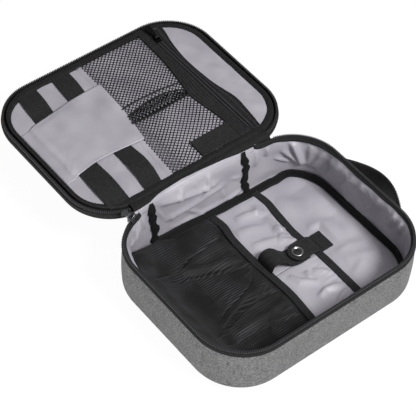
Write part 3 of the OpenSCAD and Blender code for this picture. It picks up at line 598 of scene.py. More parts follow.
def aim_camera():
    """The camera at the photograph's viewing angle, with the small roll that its outlines show."""
    azimuth, elevation, roll = (math.radians(a) for a in (-40.55, 49.29, 3.08))
    target, distance, focal = Vector((-8.39, 82.3, 30.0)) * MM, 1623.73 * MM, 1660.9
    right = Vector((math.cos(azimuth), math.sin(azimuth), 0))
    level = Vector((math.sin(azimuth), -math.cos(azimuth), 0))
    back = level * math.cos(elevation) + Vector((0, 0, math.sin(elevation)))
    up = back.cross(right)
    across = right * math.cos(roll) + up * math.sin(roll)
    above = up * math.cos(roll) - right * math.sin(roll)
    lens = bpy.data.cameras.new("camera")
    lens.sensor_width = 36
    lens.lens = focal * lens.sensor_width / PICTURE
    lens.clip_end = 20
    camera = bpy.data.objects.new("camera", lens)
    turn = Matrix((across, above, back)).transposed()
    camera.matrix_world = Matrix.Translation(target + back * distance) @ turn.to_4x4()
    bpy.context.scene.collection.objects.link(camera)
    bpy.context.scene.camera = camera


LAMP_AIM = Vector((0, 0.1, 0.03))


def pale_floor():
    """A pale floor that keeps only a faint shadow: to the camera and in reflections it is almost white."""
    mesh = bpy.data.meshes.new("studio_floor")
    mesh.from_pydata([(-6, -6, 0), (6, -6, 0), (6, 6, 0), (-6, 6, 0)], [], [(0, 1, 2, 3)])
    floor = bpy.data.objects.new("studio_floor", mesh)
    bpy.context.scene.collection.objects.link(floor)
    floor.location.z = -0.0003
    pale, tree = blank_finish("pale_floor")
    tone = add(tree, "ShaderNodeTexNoise", sockets={"Vector": object_place(tree), "Scale": 3.0})
    shade = two_tone(tree, tone.outputs["Fac"], "#C6C6C6", "#CACACA")
    matt = add(tree, "ShaderNodeBsdfPrincipled", sockets={"Base Color": shade, "Roughness": 0.9,
                                                          "Specular IOR Level": 0.0})
    glow = add(tree, "ShaderNodeEmission", sockets={"Color": linear("#FDFDFD"), "Strength": 1.07})
    path = add(tree, "ShaderNodeLightPath").outputs
    seen = worked(tree, "MAXIMUM", path["Is Camera Ray"], path["Is Glossy Ray"])
    mixed = add(tree, "ShaderNodeMixShader", sockets={0: worked(tree, "MULTIPLY", seen, 0.92),
                                                      1: matt.outputs["BSDF"], 2: glow.outputs[0]})
    add(tree, "ShaderNodeOutputMaterial", sockets={"Surface": mixed.outputs[0]})
    mesh.materials.append(pale)


def white_world():
    """A little light from all round, and white where the camera looks past the floor."""
    world = bpy.data.worlds.new("studio")
    bpy.context.scene.world = world
    world.use_nodes = True
    tree = world.node_tree
    tree.nodes.clear()
    path = add(tree, "ShaderNodeLightPath").outputs
    seen = worked(tree, "MAXIMUM", path["Is Camera Ray"], path["Is Transmission Ray"])
    soft = add(tree, "ShaderNodeBackground", sockets={"Color": (1, 1, 1, 1), "Strength": 0.2})
    white = add(tree, "ShaderNodeBackground", sockets={"Color": (1, 1, 1, 1), "Strength": 1.0})
    both = add(tree, "ShaderNodeMixShader", sockets={0: seen, 1: soft.outputs[0], 2: white.outputs[0]})
    add(tree, "ShaderNodeOutputWorld", sockets={"Surface": both.outputs[0]})


def lamps():
    """A soft lamp in front, a wide one overhead and a small low one on the left."""
    for name, place, size, power in (
        ("key_lamp", (0.35, -1.2, 1.65), 0.5, 38.5),
        ("top_lamp", (0.2, -0.3, 1.9), 1.2, 6.0),
        ("low_lamp", (-1.6, -0.3, 0.09), 0.12, 13.0),
    ):
        lamp = bpy.data.lights.new(name, "AREA")
        lamp.energy, lamp.size = power, size
        stand = bpy.data.objects.new(name, lamp)
        stand.location = place
        stand.rotation_euler = (LAMP_AIM - Vector(place)).to_track_quat("-Z", "Y").to_euler()
        bpy.context.scene.collection.objects.link(stand)


aim_camera()
bpy.context.scene.view_settings.view_transform = "Standard"
pale_floor()
white_world()
lamps()


# Tray shell


RIM_Z = 53.2  # where the zip tape covers the wall's cloth, in millimetres


def tray_shell():
    """Heather cloth over the foam wall, turned in under the base, with the soft swell of the padding."""
    count = 300
    runs = np.linspace(0, ROUND, count, endpoint=False)
    rows = [(40, 0.0), (20, 0.0), (9, 0.0)]
    rows += [(8 - 8 * math.sin(t), 8.3 - 8 * math.cos(t)) for t in np.radians(np.linspace(6, 90, 9))]
    rows += [(0, z) for z in np.linspace(10, 52.6, 22)] + [(0.15, RIM_Z), (0.7, 53.5), (1.3, 53.1), (1.4, 51)]
    grid = []
    for inset, z in rows:
        swell = 0.0
        if z < RIM_Z and inset < 8:
            swell = 0.9 * math.sin(math.pi * min(max((z - 3) / (RIM_Z - 3), 0), 1))
        wave = 0.5 * ripple(runs / (70 * MM), z / 40, 3) * ease(z, 4, 14) * (1 - ease(z, 44, 52))
        grid.append(outline(runs, (inset - swell - wave) * MM, z * MM)[0])
    grid = np.array(grid)
    u, v = runs_of(grid)
    faces, uv = quads(np.append(u, ROUND), v, count, len(rows), True)
    faces.append(range(count)[::-1])
    uv.append([(place, 0) for place in u[::-1]])
    shell = mesh_object("heather_shell", grid.reshape(-1, 3), faces, uv)
    put(shell, "tray", HEATHER, "heather_cloth", "base_panel", "wall_cloth", "wall_foam", "base_board")


# Run from the middle of the back to an end of the hinge, and how far the rim runs on past it on either side
HINGE_RUN = RUN_X + CORNER * (math.pi / 2 - math.acos((HINGE_HALF - RUN_X) / CORNER))
PAST_LEFT, PAST_RIGHT = 2 * MM, 20 * MM


def tray_rim():
    """Black zip tape round the tray's mouth: outside it covers the wall's edge, inside it hems the lining."""
    runs = np.linspace(HINGE_RUN - PAST_LEFT, ROUND - HINGE_RUN + PAST_RIGHT, 280)
    path, out = outline(runs, 0.0, 0.0)
    # Its right end tucks in under the hinge's hem
    path[:, 1] += 2.4 * MM * ease(runs, runs[-1] - 13 * MM, runs[-1])
    up = np.broadcast_to(UP, out.shape)
    profile = np.array([(-1.0, 52.6), (0.25, 53.0), (0.5, 53.5), (0.5, 54.1), (0.15, 54.6), (0.2, 55.1),
                        (0.1, 55.7), (-0.4, 56.6), (-0.9, 57.4), (-1.3, 58.7), (-2.1, 58.7), (-2.7, 57.5),
                        (-3.4, 56.9), (-4.1, 56.0), (-4.5, 55.0), (-4.5, 54.0), (-4.1, 53.4), (-3.6, 53.8),
                        (-3.0, 53.8), (-2.6, 52.4)]) * MM
    waved = np.repeat(profile[None], len(runs), 0)
    from_right = (ROUND - runs) / MM
    waved[:, 12:18, 0] += (0.7 * MM * ripple(runs / (22 * MM), 0, 5)
                           - 1.6 * MM * ease(from_right, 84, 100) * (1 - ease(from_right, 140, 170)))[:, None]
    to_end = np.minimum(runs - runs[0], runs[-1] - runs)
    tuck = 0.4 * (1 - ease(to_end, 0, 4 * MM))
    waved = waved + (np.array([-1.7, 56.6]) * MM - waved) * tuck[:, None, None]
    tape = strip("tray_zip_band", path, out, up, waved)
    put(tape, "tray", TAPE, "black_webbing", "tray_zip_tape")
    sewn = to_end > 8 * MM
    for inset, z in ((-0.6, 53.9), (4.1, 55.6)):
        sew("tray", "black", outline(runs[sewn], inset * MM, z * MM)[0])


LEAN = np.array([(9, 6.1), (20, 5.9), (32, 5.0), (42, 3.7), (48, 2.6), (52, 1.6), (55, 0.3), (57, -0.9),
                 (58.2, -1.9)])


def back_lean(z):
    """Inset of the back wall's lining at a height: it leans out to the hinge."""
    return np.interp(z, LEAN[:, 0] * MM, LEAN[:, 1] * MM)


WALL_FOLDS = [(5.0, 5.5, (-102, 57), (-111, 40), (-121, 22)), (4.0, 4.0, (-92, 43), (-106, 33), (-119, 22)),
              (7.0, 2.6, (-128, 56), (-126, 23)), (7.0, 3.2, (-146, 54), (-130, 22)),
              (3.0, 2.4, (-84, 34), (-106, 25)), (3.4, 3.4, (-75, 58), (-74, 41)),
              (3.4, 3.0, (-64, 54), (-60, 34)), (7.0, 3.4, (-170, 54), (-150, 23)),
              (7.0, 3.0, (-190, 54), (-171, 21)), (4.6, 1.8, (-158, 52), (-152, 34)),
              (4.6, 1.6, (-178, 56), (-170, 35)), (5.0, 2.2, (-204, 56), (-191, 30)),
              (5.4, 2.2, (-228, 56), (-213, 29)), (4.4, 2.6, (-250, 56), (-240, 29)),
              (4.0, 3.0, (-262, 56), (-256, 30)), (4.0, 3.2, (-274, 52), (-270, 19)),
              (4.0, 4.0, (57, 52), (13, 43), (-16, 40)), (4.0, 3.2, (52, 28), (12, 30), (-25, 32)),
              (3.0, 3.0, (-6, 58), (-1, 46), (8, 34)), (3.4, 2.4, (46, 13), (-6, 10), (-44, 6)),
              (2.6, 1.8, (-25, 8), (-46, 11)), (3.0, 2.4, (26, 58), (35, 46)),
              (4.0, 3.6, (82, 54), (92, 42), (105, 32)), (2.8, 2.4, (78, 50), (78, 34)),
              (3.0, 2.4, (95, 56), (98, 35))]


def wall_satin():
    """Satin lining of the wall, cut long and gathered at the two ruched bands, so that it stands in folds."""
    count, rows = 520, 44
    runs = np.linspace(0, ROUND, count, endpoint=False)
    t = np.linspace(0, 1, rows)
    top = np.interp(t, [0, 0.05, 0.1, 1], [4.6, 6.4, 9, 54.6]) * MM
    behind = np.interp(t, [0, 0.05, 0.1, 1], [4.6, 6.4, 9, 58.2]) * MM
    foot = np.interp(t, [0, 0.05, 0.1, 0.8, 1], [7.8, 6.7, 6.1, 6.1, 4.2]) * MM
    plan, out = outline(runs, 0.0, 0.0)
    x, y = plan[:, 0], plan[:, 1]
    back = (out[:, 1] > 0) * (1 - ease(-x, 75 * MM, 88 * MM)) * (1 - ease(x, 62 * MM, 78 * MM))
    grid = []
    for j in range(rows):
        leaning = back_lean(behind[j]) if t[j] > 0.1 else foot[j]
        inset = foot[j] * (1 - back) + leaning * back
        grid.append(outline(runs, inset, top[j] * (1 - back) + behind[j] * back)[0])
    grid = np.array(grid)
    along = np.where(runs > ROUND / 2, runs - ROUND, runs)[None]
    up = grid[..., 2]
    folds = WALL_FOLDS + spread_folds(1, 8, (-40, 12), (60, 52), 70, 24, (14, 30), (2.0, 3.5), (0.5, 1.2))
    folds += spread_folds(5, 16, (-330, 14), (-145, 50), 70, 20, (14, 30), (2.6, 4.6), (0.4, 1.0))
    folds += spread_folds(6, 12, (-400, 12), (-335, 50), 84, 20, (14, 34), (2.0, 4.0), (0.6, 1.8))
    folds += spread_folds(7, 12, (335, 12), (400, 50), 96, 20, (14, 34), (2.0, 4.0), (0.6, 1.8))
    lift = fold_height(along, up, folds)
    held = ease(t, 0.0, 0.16)[:, None] * (1 - ease(t, 0.9, 1.0))[:, None]
    for band in (-65, 48):
        gap = np.abs(x - band * MM) + 1.0 * (y < 0)
        held = held * (0.25 + 0.75 * ease(gap, 3 * MM, 8 * MM))[None]
    slack = 0.5 * MM * ripple(along / (22 * MM), up / (18 * MM), 11)
    slack = slack + MM * ripple(along / (45 * MM), up / (34 * MM), 12)
    # In the left corner the pocket draws the lining away from the wall
    drawn = ease(along, 112 * MM, 128 * MM) * (1 - ease(along, 152 * MM, 170 * MM))
    drawn = drawn * ease(up, 6 * MM, 16 * MM) * (1 - ease(up, 44 * MM, 54 * MM))
    # The stretch pocket lies close to the lining on the left
    held = held * (1 - ease(-x, 98 * MM, 112 * MM) * (y < 70 * MM))[None]
    grid = grid - out[None] * ((lift + slack) * held + 4.4 * MM * drawn)[..., None]
    wall = cloth("satin_wall", grid, 0.5 * MM, wrap=True, towards=-out[None])
    put(wall, "tray", SATIN, "satin_lining", "wall_lining")


def field_grid(edge, columns, rows, mid_y, z):
    """A flat grid of points over all that the outline holds, inset by an edge."""
    x = np.linspace(edge - HALF_W, HALF_W - edge, columns)
    y = np.linspace(-1, 1, rows)[:, None] * half_depth(x, edge)[None]
    return np.dstack([np.broadcast_to(x, y.shape), y + mid_y, np.full(y.shape, z)])


FLOOR_FOLDS = [(14, 2.4, (101, 63), (104, 19)), (12, 2.2, (72, -18), (106, -29)),
               (13, 2.6, (70, -33), (107, -47)), (10, 2.0, (62, -55), (87, -45)),
               (12, 2.0, (66, 66), (92, 40)), (14, 2.2, (68, 20), (98, 8))]


def floor_satin():
    """Satin on the floor, loose where no pocket lies on it."""
    edge = 6.4 * MM
    grid = field_grid(edge, 150, 116, 0.0, FLOOR)
    x, y = grid[..., 0], grid[..., 1]
    lift = fold_height(x, y, FLOOR_FOLDS) + 2.6 * MM * crumple(x, y, 34, 22) + 0.9 * MM
    room = ease(x, 58 * MM, 66 * MM) * (1 - ease(x, 106 * MM, 116 * MM))
    room = room * (1 - ease(np.abs(y), 76 * MM, 90 * MM))
    # The tab's patch is sewn flat on the floor
    patch_low, patch_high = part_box("tab_patch")
    beside = np.maximum(np.maximum(x - patch_high.x, 0), np.maximum(patch_low.y - y, y - patch_high.y))
    room = room * ease(beside, 1 * MM, 10 * MM)
    grid[..., 2] += np.maximum(lift, -0.2 * MM) * room
    floor = cloth("satin_floor", grid, 0.5 * MM)
    put(floor, "tray", SATIN, "satin_lining", "floor_lining")


def floor_tape():
    """Black tape over the floor seam: it leans on the back wall, lies flat, and stands by the right wall."""
    runs = np.linspace(0, ROUND, 330, endpoint=False)
    plan, out = outline(runs, 0.0, 0.0)
    x = plan[:, 0] / MM
    stood = ease(x, 84, 106)
    hidden = 1 - ease(x, -72, -60)
    sway = ripple(runs / (26 * MM), 0, 31)
    rear = plan[:, 1] > 0
    tip = np.where(rear, np.interp(x, [-64, -54, 0, 50], [62, 58, 44, 9]), 12)
    tip = np.radians((tip + 3 * sway) * (1 - hidden) * (1 - stood) + (76 + 2 * sway) * stood)
    inset = np.where(rear, np.interp(x, [-64, -54, 0, 50], [9.4, 9.6, 10.2, 12.2]), 11.0)
    inset = (inset * (1 - stood) + 8.3 * stood + 0.4 * sway) * MM
    height = np.where(rear, np.interp(x, [-64, -54, 0, 50], [10.6, 9.6, 7.6, 5.7]), 5.6)
    height = (height * (1 - stood) + 9.2 * stood) * (1 - hidden) + 4.7 * hidden
    path = outline(runs, inset, height * MM)[0]
    across = out * np.cos(tip)[:, None] + UP * np.sin(tip)[:, None]
    up = UP * np.cos(tip)[:, None] - out * np.sin(tip)[:, None]
    tape = strip("floor_seam_binding", path, across, up, webbing(9 * MM, 1.5 * MM), wrap=True)
    put(tape, "tray", SEAM_TAPE, "black_webbing", "floor_seam_tape")
    shown = hidden < 0.5
    for side in (-3.3, 3.3):
        sew("tray", "black", (path + across * side * MM + up * 0.8 * MM)[shown])


def ruched_band(name, node, seed):
    """An elastic band sewn tight up the back wall, so that its cloth is drawn into ruffles."""
    low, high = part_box(node)
    z = np.linspace(low.z + 0.8 * MM, 58.0 * MM, 90)
    t = (z - z[0]) / (z[-1] - z[0])
    x = (low.x + high.x) / 2 + 3.0 * MM * ripple(z / (14 * MM), 0, seed)
    y = HALF_D - back_lean(z) - 1.4 * MM - 0.8 * MM * ripple(z / (12 * MM), 3, seed)
    y[z < 9 * MM] -= 1.2 * MM
    path = np.column_stack([x, y, z])
    beat = 2 * math.pi * z / (12 * MM) + 4 * ripple(z / (16 * MM), 5, seed)
    pucker = 0.5 + 0.35 * np.sin(beat) + 0.3 * ripple(z / (5 * MM), 7, seed)
    section = webbing(1.0, 1.0, 20, 2.6)
    width = (5.4 + 4.4 * pucker) * MM
    depth = (2.0 + 1.6 * pucker) * MM
    profile = np.stack([section[None, :, 0] * width[:, None], section[None, :, 1] * depth[:, None]], -1)
    ends = 1 - 0.3 * (ease(-t, -0.06, 0) + ease(t, 0.94, 1))
    profile = profile * ends[:, None, None]
    across = np.broadcast_to([1.0, 0, 0], path.shape)
    band = strip(name, path, across, np.cross(across, heading(path)), profile)
    put(band, "tray", SEAM_TAPE, "black_webbing", node)


tray_shell()
tray_rim()
wall_satin()
floor_satin()
floor_tape()
ruched_band("ruched_band_left", "back_band_left", 41)
ruched_band("ruched_band_right", "back_band_right", 43)


# Tray pockets

# Lines of the two elastic edges, as Y and X from the front of the tray to its back
STRETCH_LINE = np.array([(-83, -1.0), (-68.8, -1.2), (-36.5, 1.3), (-6.7, 0.0), (14.4, -1.4), (36, -1.6),
                         (54, -0.6), (69.5, 2.0), (86, 1.0)]) * MM
SATIN_LINE = np.array([(-83, 56.6), (-68.9, 56.4), (-30.7, 56.6), (-10.8, 56.2), (20.9, 53.0), (47, 54.6),
                       (68.8, 57.2), (86, 55.5)]) * MM


def edge_at(line, y):
    """X of a pocket's edge at a place along Y."""
    return np.interp(y, line[:, 0], line[:, 1])


def elastic_edge(name, line, z, lift, seed, node):
    """Fold-over elastic along a pocket's mouth, drawn in so that it waves."""
    path = smooth_path(np.column_stack([line[:, 1], line[:, 0], np.full(len(line), z)]), 130)
    y = path[:, 1]
    wave = ripple(y / (26 * MM), 0, seed)
    path[:, 2] += (lift + 0.8 * MM * wave) * ease(y, -85 * MM, -60 * MM) * (1 - ease(y, 65 * MM, 88 * MM))
    tip = np.radians(10 * ripple(y / (22 * MM), 4, seed))
    along = heading(path)
    side = unit(np.cross(along, UP))
    up = np.cross(side, along)
    across = side * np.cos(tip)[:, None] + up * np.sin(tip)[:, None]
    above = up * np.cos(tip)[:, None] - side * np.sin(tip)[:, None]
    band = strip(name, path, across, above, webbing(8 * MM, 1.9 * MM))
    put(band, "tray", EDGE, "edge_elastic", node)
    for way in (-2.9, 2.9):
        sew("tray", "black", path + across * way * MM + above * 1.0 * MM)


# Ridges first, then the sharp creases beside them, which go down
KNIT_FOLDS = [
    (7.0, 3.4, (-104, 37), (-75, 45), (-48, 51), (-21, 53), (-4, 54)),
    (6.0, 4.6, (-72, 44), (-55, 41), (-42, 35), (-24, 31), (-6, 26)),
    (7.0, 5.0, (-15, -10), (-40, -16), (-56, -21), (-80, -28)),
    (5.0, 3.4, (-92, -42), (-59, -41), (-36, -40), (-8, -37)),
    (1.7, -3.4, (-117, 33), (-90, 44.5), (-73, 49), (-49, 57), (-38, 57), (-24, 59), (4, 63)),
    (1.8, -3.8, (-96, 34), (-68, 37), (-52, 31), (-33, 24), (-14, 22), (4, 22)),
    (1.5, -2.4, (-36, 22), (-11, 17), (2, 15)),
    (1.7, -2.8, (-14, 4), (-23, -4), (-42, -11), (-58, -14), (-76, -21)),
    (1.8, -3.6, (2, -27), (-21, -22), (-32, -21.5), (-47, -24), (-60, -27), (-76, -32), (-104, -47)),
    (2.0, -3.0, (-98, -53), (-66, -48), (-38, -51), (0, -61)),
]


def knit_pocket():
    """Black stretch knit from its elastic edge on the floor up the left wall, drawn into long folds."""
    columns, rows = 196, 216
    inner = 13.0 * MM
    s = np.linspace(0, 1, columns)[None]
    t = np.linspace(-1, 1, rows)[:, None]
    climb_x, corner_y = (-66 + 20 * ease(t, 0.2, 1)) * MM, 68 * MM
    right = edge_at(STRETCH_LINE, t * half_depth(0.0, inner)) - 3.2 * MM
    # Behind, the edge leaves the corner and runs straight from the seam up to the side wall
    low_end = ease(t, 0.5, 0.85)
    past = np.maximum(t * corner_y - RUN_Y, 0)
    wall_x = -(RUN_X + np.sqrt((CORNER - (5.3 + 4.8 * low_end) * MM) ** 2 - past**2))
    x = right + (wall_x - right) * s
    climb = np.clip((climb_x - x) / (climb_x - wall_x), 0, 1)
    front = half_depth(x, inner + (5.3 * MM - inner) * ease(climb, 0.08, 0.35))
    rear = np.interp(x, np.array([-114.6, -62]) * MM, np.array([68, 91]) * MM)
    y = np.where(t < 0, t * front, t * rear)
    rise = (49.0 - 6.5 * low_end) * MM
    z = POCKET + 0.2 * MM + rise * climb ** (2.0 - 0.65 * ease(t, 0.2, 1))
    grid = np.dstack([x, np.broadcast_to(y, x.shape), z])
    px, py = grid[..., 0], grid[..., 1]
    folds = KNIT_FOLDS + spread_folds(51, 16, (-14, -74), (-8, 78), 8, 12, (14, 30), (1.2, 2.2), (0.4, 0.9))
    folds += spread_folds(52, 8, (-90, -60), (-20, 74), 14, 14, (20, 44), (1.8, 3.0), (0.4, 0.9))
    lift = fold_height(px, py, folds) + 0.8 * MM * ripple(px / (40 * MM), py / (30 * MM), 55) + 3.0 * MM
    inside = ease(1 - np.abs(t), 0, 0.1) * ease(s, 0, 0.06) * (1 - ease(s, 0.88, 1.0))
    normal = facing(grid)
    normal = normal * np.sign(normal[..., 2:])
    grid = grid + normal * (np.clip(lift, 0, 10 * MM) * inside)[..., None]
    pocket = cloth("knit_pocket", grid, 0.8 * MM)
    put(pocket, "tray", KNIT, "black_knit", "stretch_pocket")


def satin_pocket(name, node, low_y, high_y, folds):
    """One satin panel of the middle pocket, slack between its seams."""
    columns, rows = 50, max(40, int((high_y - low_y) / (1.2 * MM)))
    t = np.linspace(0, 1, rows)[:, None]
    s = np.linspace(0, 1, columns)[None]
    y = low_y + (high_y - low_y) * t
    left, right = edge_at(STRETCH_LINE, y) + 3.0 * MM, edge_at(SATIN_LINE, y) - 3.0 * MM
    x = left + (right - left) * s
    y = np.broadcast_to(y, x.shape)
    gather = 0.7 * MM * ripple(y / (3.4 * MM), x / (40 * MM), 65) * ease(s, 0.55, 0.9)
    lift = fold_height(x, y, folds) + 0.8 * MM * crumple(x, y, 22, 61) + gather + 0.7 * MM
    sewn = (ease(s, 0, 0.1) * (1 - ease(s, 0.97, 1))) * (ease(t, 0, 0.06) * (1 - ease(t, 0.94, 1)))
    grid = np.dstack([x, y, POCKET + 0.1 * MM + np.maximum(lift, -0.4 * MM) * sewn])
    panel = cloth(name, grid, 0.6 * MM)
    put(panel, "tray", SATIN, "satin_lining", node)


SPLIT_Y = -8 * MM
POCKET_END = HALF_D - 15.4 * MM
REAR_FOLDS = [(6, 3.0, (16, 70), (30, 68), (50, 60)), (5, 2.2, (47, 71), (36, 62)),
              (5.5, 2.8, (43, 54), (45, 26)), (4, 2.2, (40, 39), (50, 30)), (4, 2.2, (38, 29), (48, 21)),
              (4.4, 2.4, (34, 25), (50, 13)), (6, 2.4, (8, 34), (24, 30), (42, 24)),
              (7, 2.4, (6, 56), (22, 52), (38, 44))]
FRONT_FOLDS = [(5, 3.0, (14, -16), (19, -28), (34, -39)), (4.5, 4.0, (20, -53), (32, -50), (51, -54)),
               (3.4, 2.4, (32, -21), (30, -32)), (3.0, 2.4, (24, -76), (36, -66), (50, -60)),
               (2.6, 2.0, (36, -78), (52, -68)), (4, 2.2, (38, -24), (52, -38))]
knit_pocket()
satin_pocket("satin_panel_rear", "satin_pocket_rear", SPLIT_Y, POCKET_END, REAR_FOLDS)
satin_pocket("satin_panel_front", "satin_pocket_front", -POCKET_END, SPLIT_Y - 0.3 * MM, FRONT_FOLDS)
elastic_edge("stretch_edge_elastic", STRETCH_LINE, POCKET + 0.5 * MM, 1.0 * MM, 71, "stretch_pocket_edge")
elastic_edge("satin_edge_elastic", SATIN_LINE, POCKET + 0.4 * MM, 0.8 * MM, 73, "satin_pocket_edge")


# Snap strap

STRAP_LOW, STRAP_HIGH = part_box("snap_strap")
STRAP_Y = (STRAP_LOW.y + STRAP_HIGH.y) / 2
STRAP_W = STRAP_HIGH.y - STRAP_LOW.y
SNAP_X = middle_of("snap_cap").x


def strap():
    """Elastic strap: sewn on the stretch pocket's edge, arched, and flat under the snap."""
    root_z, flat_z = STRAP_LOW.z + 0.9 * MM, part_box("snap_stud")[0].z + 1.7 * MM
    arch = np.array([(2.6, 11.6), (5.2, 16.3), (11.4, 18.4), (17.2, 16.0), (22.4, 11.4)]) * MM
    key = np.array([(STRAP_LOW.x + 1 * MM, root_z), (1.4 * MM, root_z), (2.1 * MM, root_z + 2.4 * MM), *arch,
                    (27.6 * MM, flat_z + 0.7 * MM), (32 * MM, flat_z), (STRAP_HIGH.x, flat_z)])
    # The root is sewn on a little further back than the snap, so the strap lies askew
    askew = STRAP_Y + 6.0 * MM * (1 - ease(key[:, 0], 2 * MM, 33 * MM))
    path = smooth_path(np.column_stack([key[:, 0], askew, key[:, 1]]), 90)
    along = heading(path)
    up = unit(np.cross(along, [0, 1.0, 0]))
    across = np.cross(up, along)
    band = strip("strap_elastic", path, across, up, webbing(STRAP_W, 1.4 * MM))
    put(band, "tray", ELASTIC, "black_webbing", "snap_strap")
    for row in path[:9:4]:
        sew("tray", "black", [row + [0, side * STRAP_W * 0.43, 0.9 * MM] for side in np.linspace(-1, 1, 9)])


def tab():
    """Elastic tab with a round tip, from its sewn root over the pocket's edge to the snap."""
    low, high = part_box("snap_tab")
    socket_top = top_of("snap_socket")
    key = [(high.x, 0, low.z + 0.9 * MM), (high.x - 1.9 * MM, 0, low.z + 1.9 * MM),
           (high.x - 6 * MM, 0, high.z - 1.6 * MM), (high.x - 10.5 * MM, 0, high.z - 0.7 * MM),
           (SNAP_X + 4 * MM, 0, socket_top + 0.7 * MM), (low.x, 0, socket_top + 0.7 * MM)]
    path = smooth_path(key, 64)[::-1]
    radius = STRAP_W / 2
    short = np.maximum(radius - (path[:, 0] - low.x), 0)
    half = np.sqrt(np.maximum(radius**2 - short**2, (1.5 * MM) ** 2))
    y = STRAP_Y + half[:, None] * np.linspace(-1, 1, 17)[None]
    x, z = (np.broadcast_to(path[:, k, None], y.shape) for k in (0, 2))
    piece = cloth("tab_elastic", np.dstack([x, y, z + 0.6 * MM]), 1.2 * MM)
    put(piece, "snap_tab", ELASTIC, "black_webbing", "snap_tab")
    rim = [(p[0], STRAP_Y + s * (h - 1.4 * MM), p[2] + 0.65 * MM) for s, order in ((-1, 1), (1, -1))
           for p, h in list(zip(path, half))[::order] if low.x + 2 * MM < p[0] < high.x - 2 * MM]
    sew("snap_tab", "black", rim)


def patch():
    """Square patch that holds the tab, sewn with a box and a cross."""
    low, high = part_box("tab_patch")
    x, y = np.linspace(low.x, high.x, 15), np.linspace(low.y, high.y, 23)
    px, py = np.meshgrid(x, y)
    # Its edge by the tab is pressed down, so that the tab clears it when it is opened
    pressed = 0.9 * MM * (1 - ease(px, low.x + 0.8 * MM, low.x + 2.8 * MM))
    grid = np.dstack([px, py, high.z + 0.5 * MM + 0.35 * MM * crumple(px, py, 9, 81) - pressed])
    piece = cloth("tab_patch_webbing", grid, 1.5 * MM)
    put(piece, "tray", ELASTIC, "black_webbing", "tab_patch")
    a, b = Vector((low.x + 2 * MM, low.y + 2 * MM)), Vector((high.x - 2 * MM, high.y - 2 * MM))
    top = high.z + 0.75 * MM
    corners = [(a.x, a.y, top), (b.x, a.y, top), (b.x, b.y, top), (a.x, b.y, top)]
    sew("tray", "black", corners + corners[:1])
    sew("tray", "black", corners[::2])
    sew("tray", "black", corners[1::2])


def snap_button():
    """Pressed nickel cap: a rolled ring round a dished middle, whose dark reflection is painted on."""
    low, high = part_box("snap_cap")
    middle = middle_of("snap_cap")
    base = high.z - 1.0 * MM
    rings = [(1.6, 0.45), (2.6, 0.3), (3.5, 0.18), (4.1, 0.35), (4.6, 0.85), (5.1, 1.1), (5.6, 1.05),
             (6.0, 0.75), (6.2, 0.4), (6.1, 0.05), (5.4, 0.0)]
    scale = (high.x - low.x) / 2 / (6.2 * MM)
    turns = 48
    angle = np.linspace(0, 2 * math.pi, turns, endpoint=False)
    vertices = [(middle.x + r * MM * scale * math.cos(a), middle.y + r * MM * scale * math.sin(a),
                 base + z * MM) for r, z in rings for a in angle]
    faces, uv = quads(np.linspace(0, 1, turns + 1), np.linspace(0, 1, len(rings)), turns, len(rings), True)
    for start, z in ((0, 0.42), ((len(rings) - 1) * turns, 0.0)):
        vertices.append((middle.x, middle.y, base + z * MM))
        faces += [(start + i, start + (i + 1) % turns, len(vertices) - 1) for i in range(turns)]
        uv += [[(i / turns, 0)] * 3 for i in range(turns)]
    cap = mesh_object("snap_button", vertices, faces, uv)
    put(cap, "snap_tab", NICKEL, "snap_metal", "snap_cap")
    # The dish's upward faces get the darker nickel: a painted reflection of dark surroundings in the dish
    cap.data.materials.append(NICKEL_PAINTED_DARK)
    for face in cap.data.polygons:
        flat = Vector((face.center.x - middle.x, face.center.y - middle.y))
        face.material_index = int(flat.length < 4.3 * MM * scale and face.normal.z > 0)


strap()
tab()
patch()
snap_button()


# Handle


def handle():
    """Padded webbing handle on the right wall, sewn flat at both ends."""
    low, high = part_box("side_handle")
    span, end, rise, thick = 46 * MM, 12 * MM, 20 * MM, 3 * MM
    y = np.linspace(-span - end, span + end, 120)
    t = np.minimum(1, np.abs(y) / span)
    x = HALF_W + thick / 2 + 0.7 * MM + rise * np.cos(math.pi / 2 * t)
    path = np.column_stack([x, y, np.full(len(y), (low.z + high.z) / 2)])
    up = np.broadcast_to(UP, path.shape)
    out = np.cross(heading(path), up)
    puff = 1 + 0.25 * (1 - ease(t, 0.75, 1))
    section = webbing(1.0, 1.0, 26, 4.0)
    profile = np.stack([np.broadcast_to(section[None, :, 0] * (high.z - low.z), (120, 26)),
                        section[None, :, 1] * thick * puff[:, None]], -1)
    band = strip("handle_webbing", path, up, out, profile)
    put(band, "tray", ELASTIC, "black_webbing", "side_handle")
    for side in (-1, 1):
        sew("tray", "black", path + up * side * 10.6 * MM + out * (thick * puff / 2 + 0.1 * MM)[:, None])
        for place in (-span - 9 * MM, -span - 2 * MM):
            row = np.array([HALF_W + thick + 1.0 * MM, side * place, 0])
            zs = np.linspace(low.z + 2.4 * MM, high.z - 2.4 * MM, 7)
            sew("tray", "black", [row + [0, 0, z] for z in zs])


handle()


# Hinge

# The fold's section, as Y and Z, and the line of its hem, as X and Y
FOLD = np.array([(99.6, 54.6), (100.8, 56.7), (102.0, 58.3), (103.0, 59.2), (104.4, 59.9), (106.0, 60.3),
                 (108.0, 60.5), (110.0, 60.4), (111.6, 59.8)]) * MM
HEM_LINE = np.array([(-84, 101.5), (-76, 101.6), (-66, 102.0), (-60, 103.0), (-54, 104.6), (-48, 105.5),
                     (-21, 106.6), (8, 104.6), (29, 102.7), (44, 101.4), (62, 100.7), (70, 100.2), (77, 99.7),
                     (88, 99.6)]) * MM


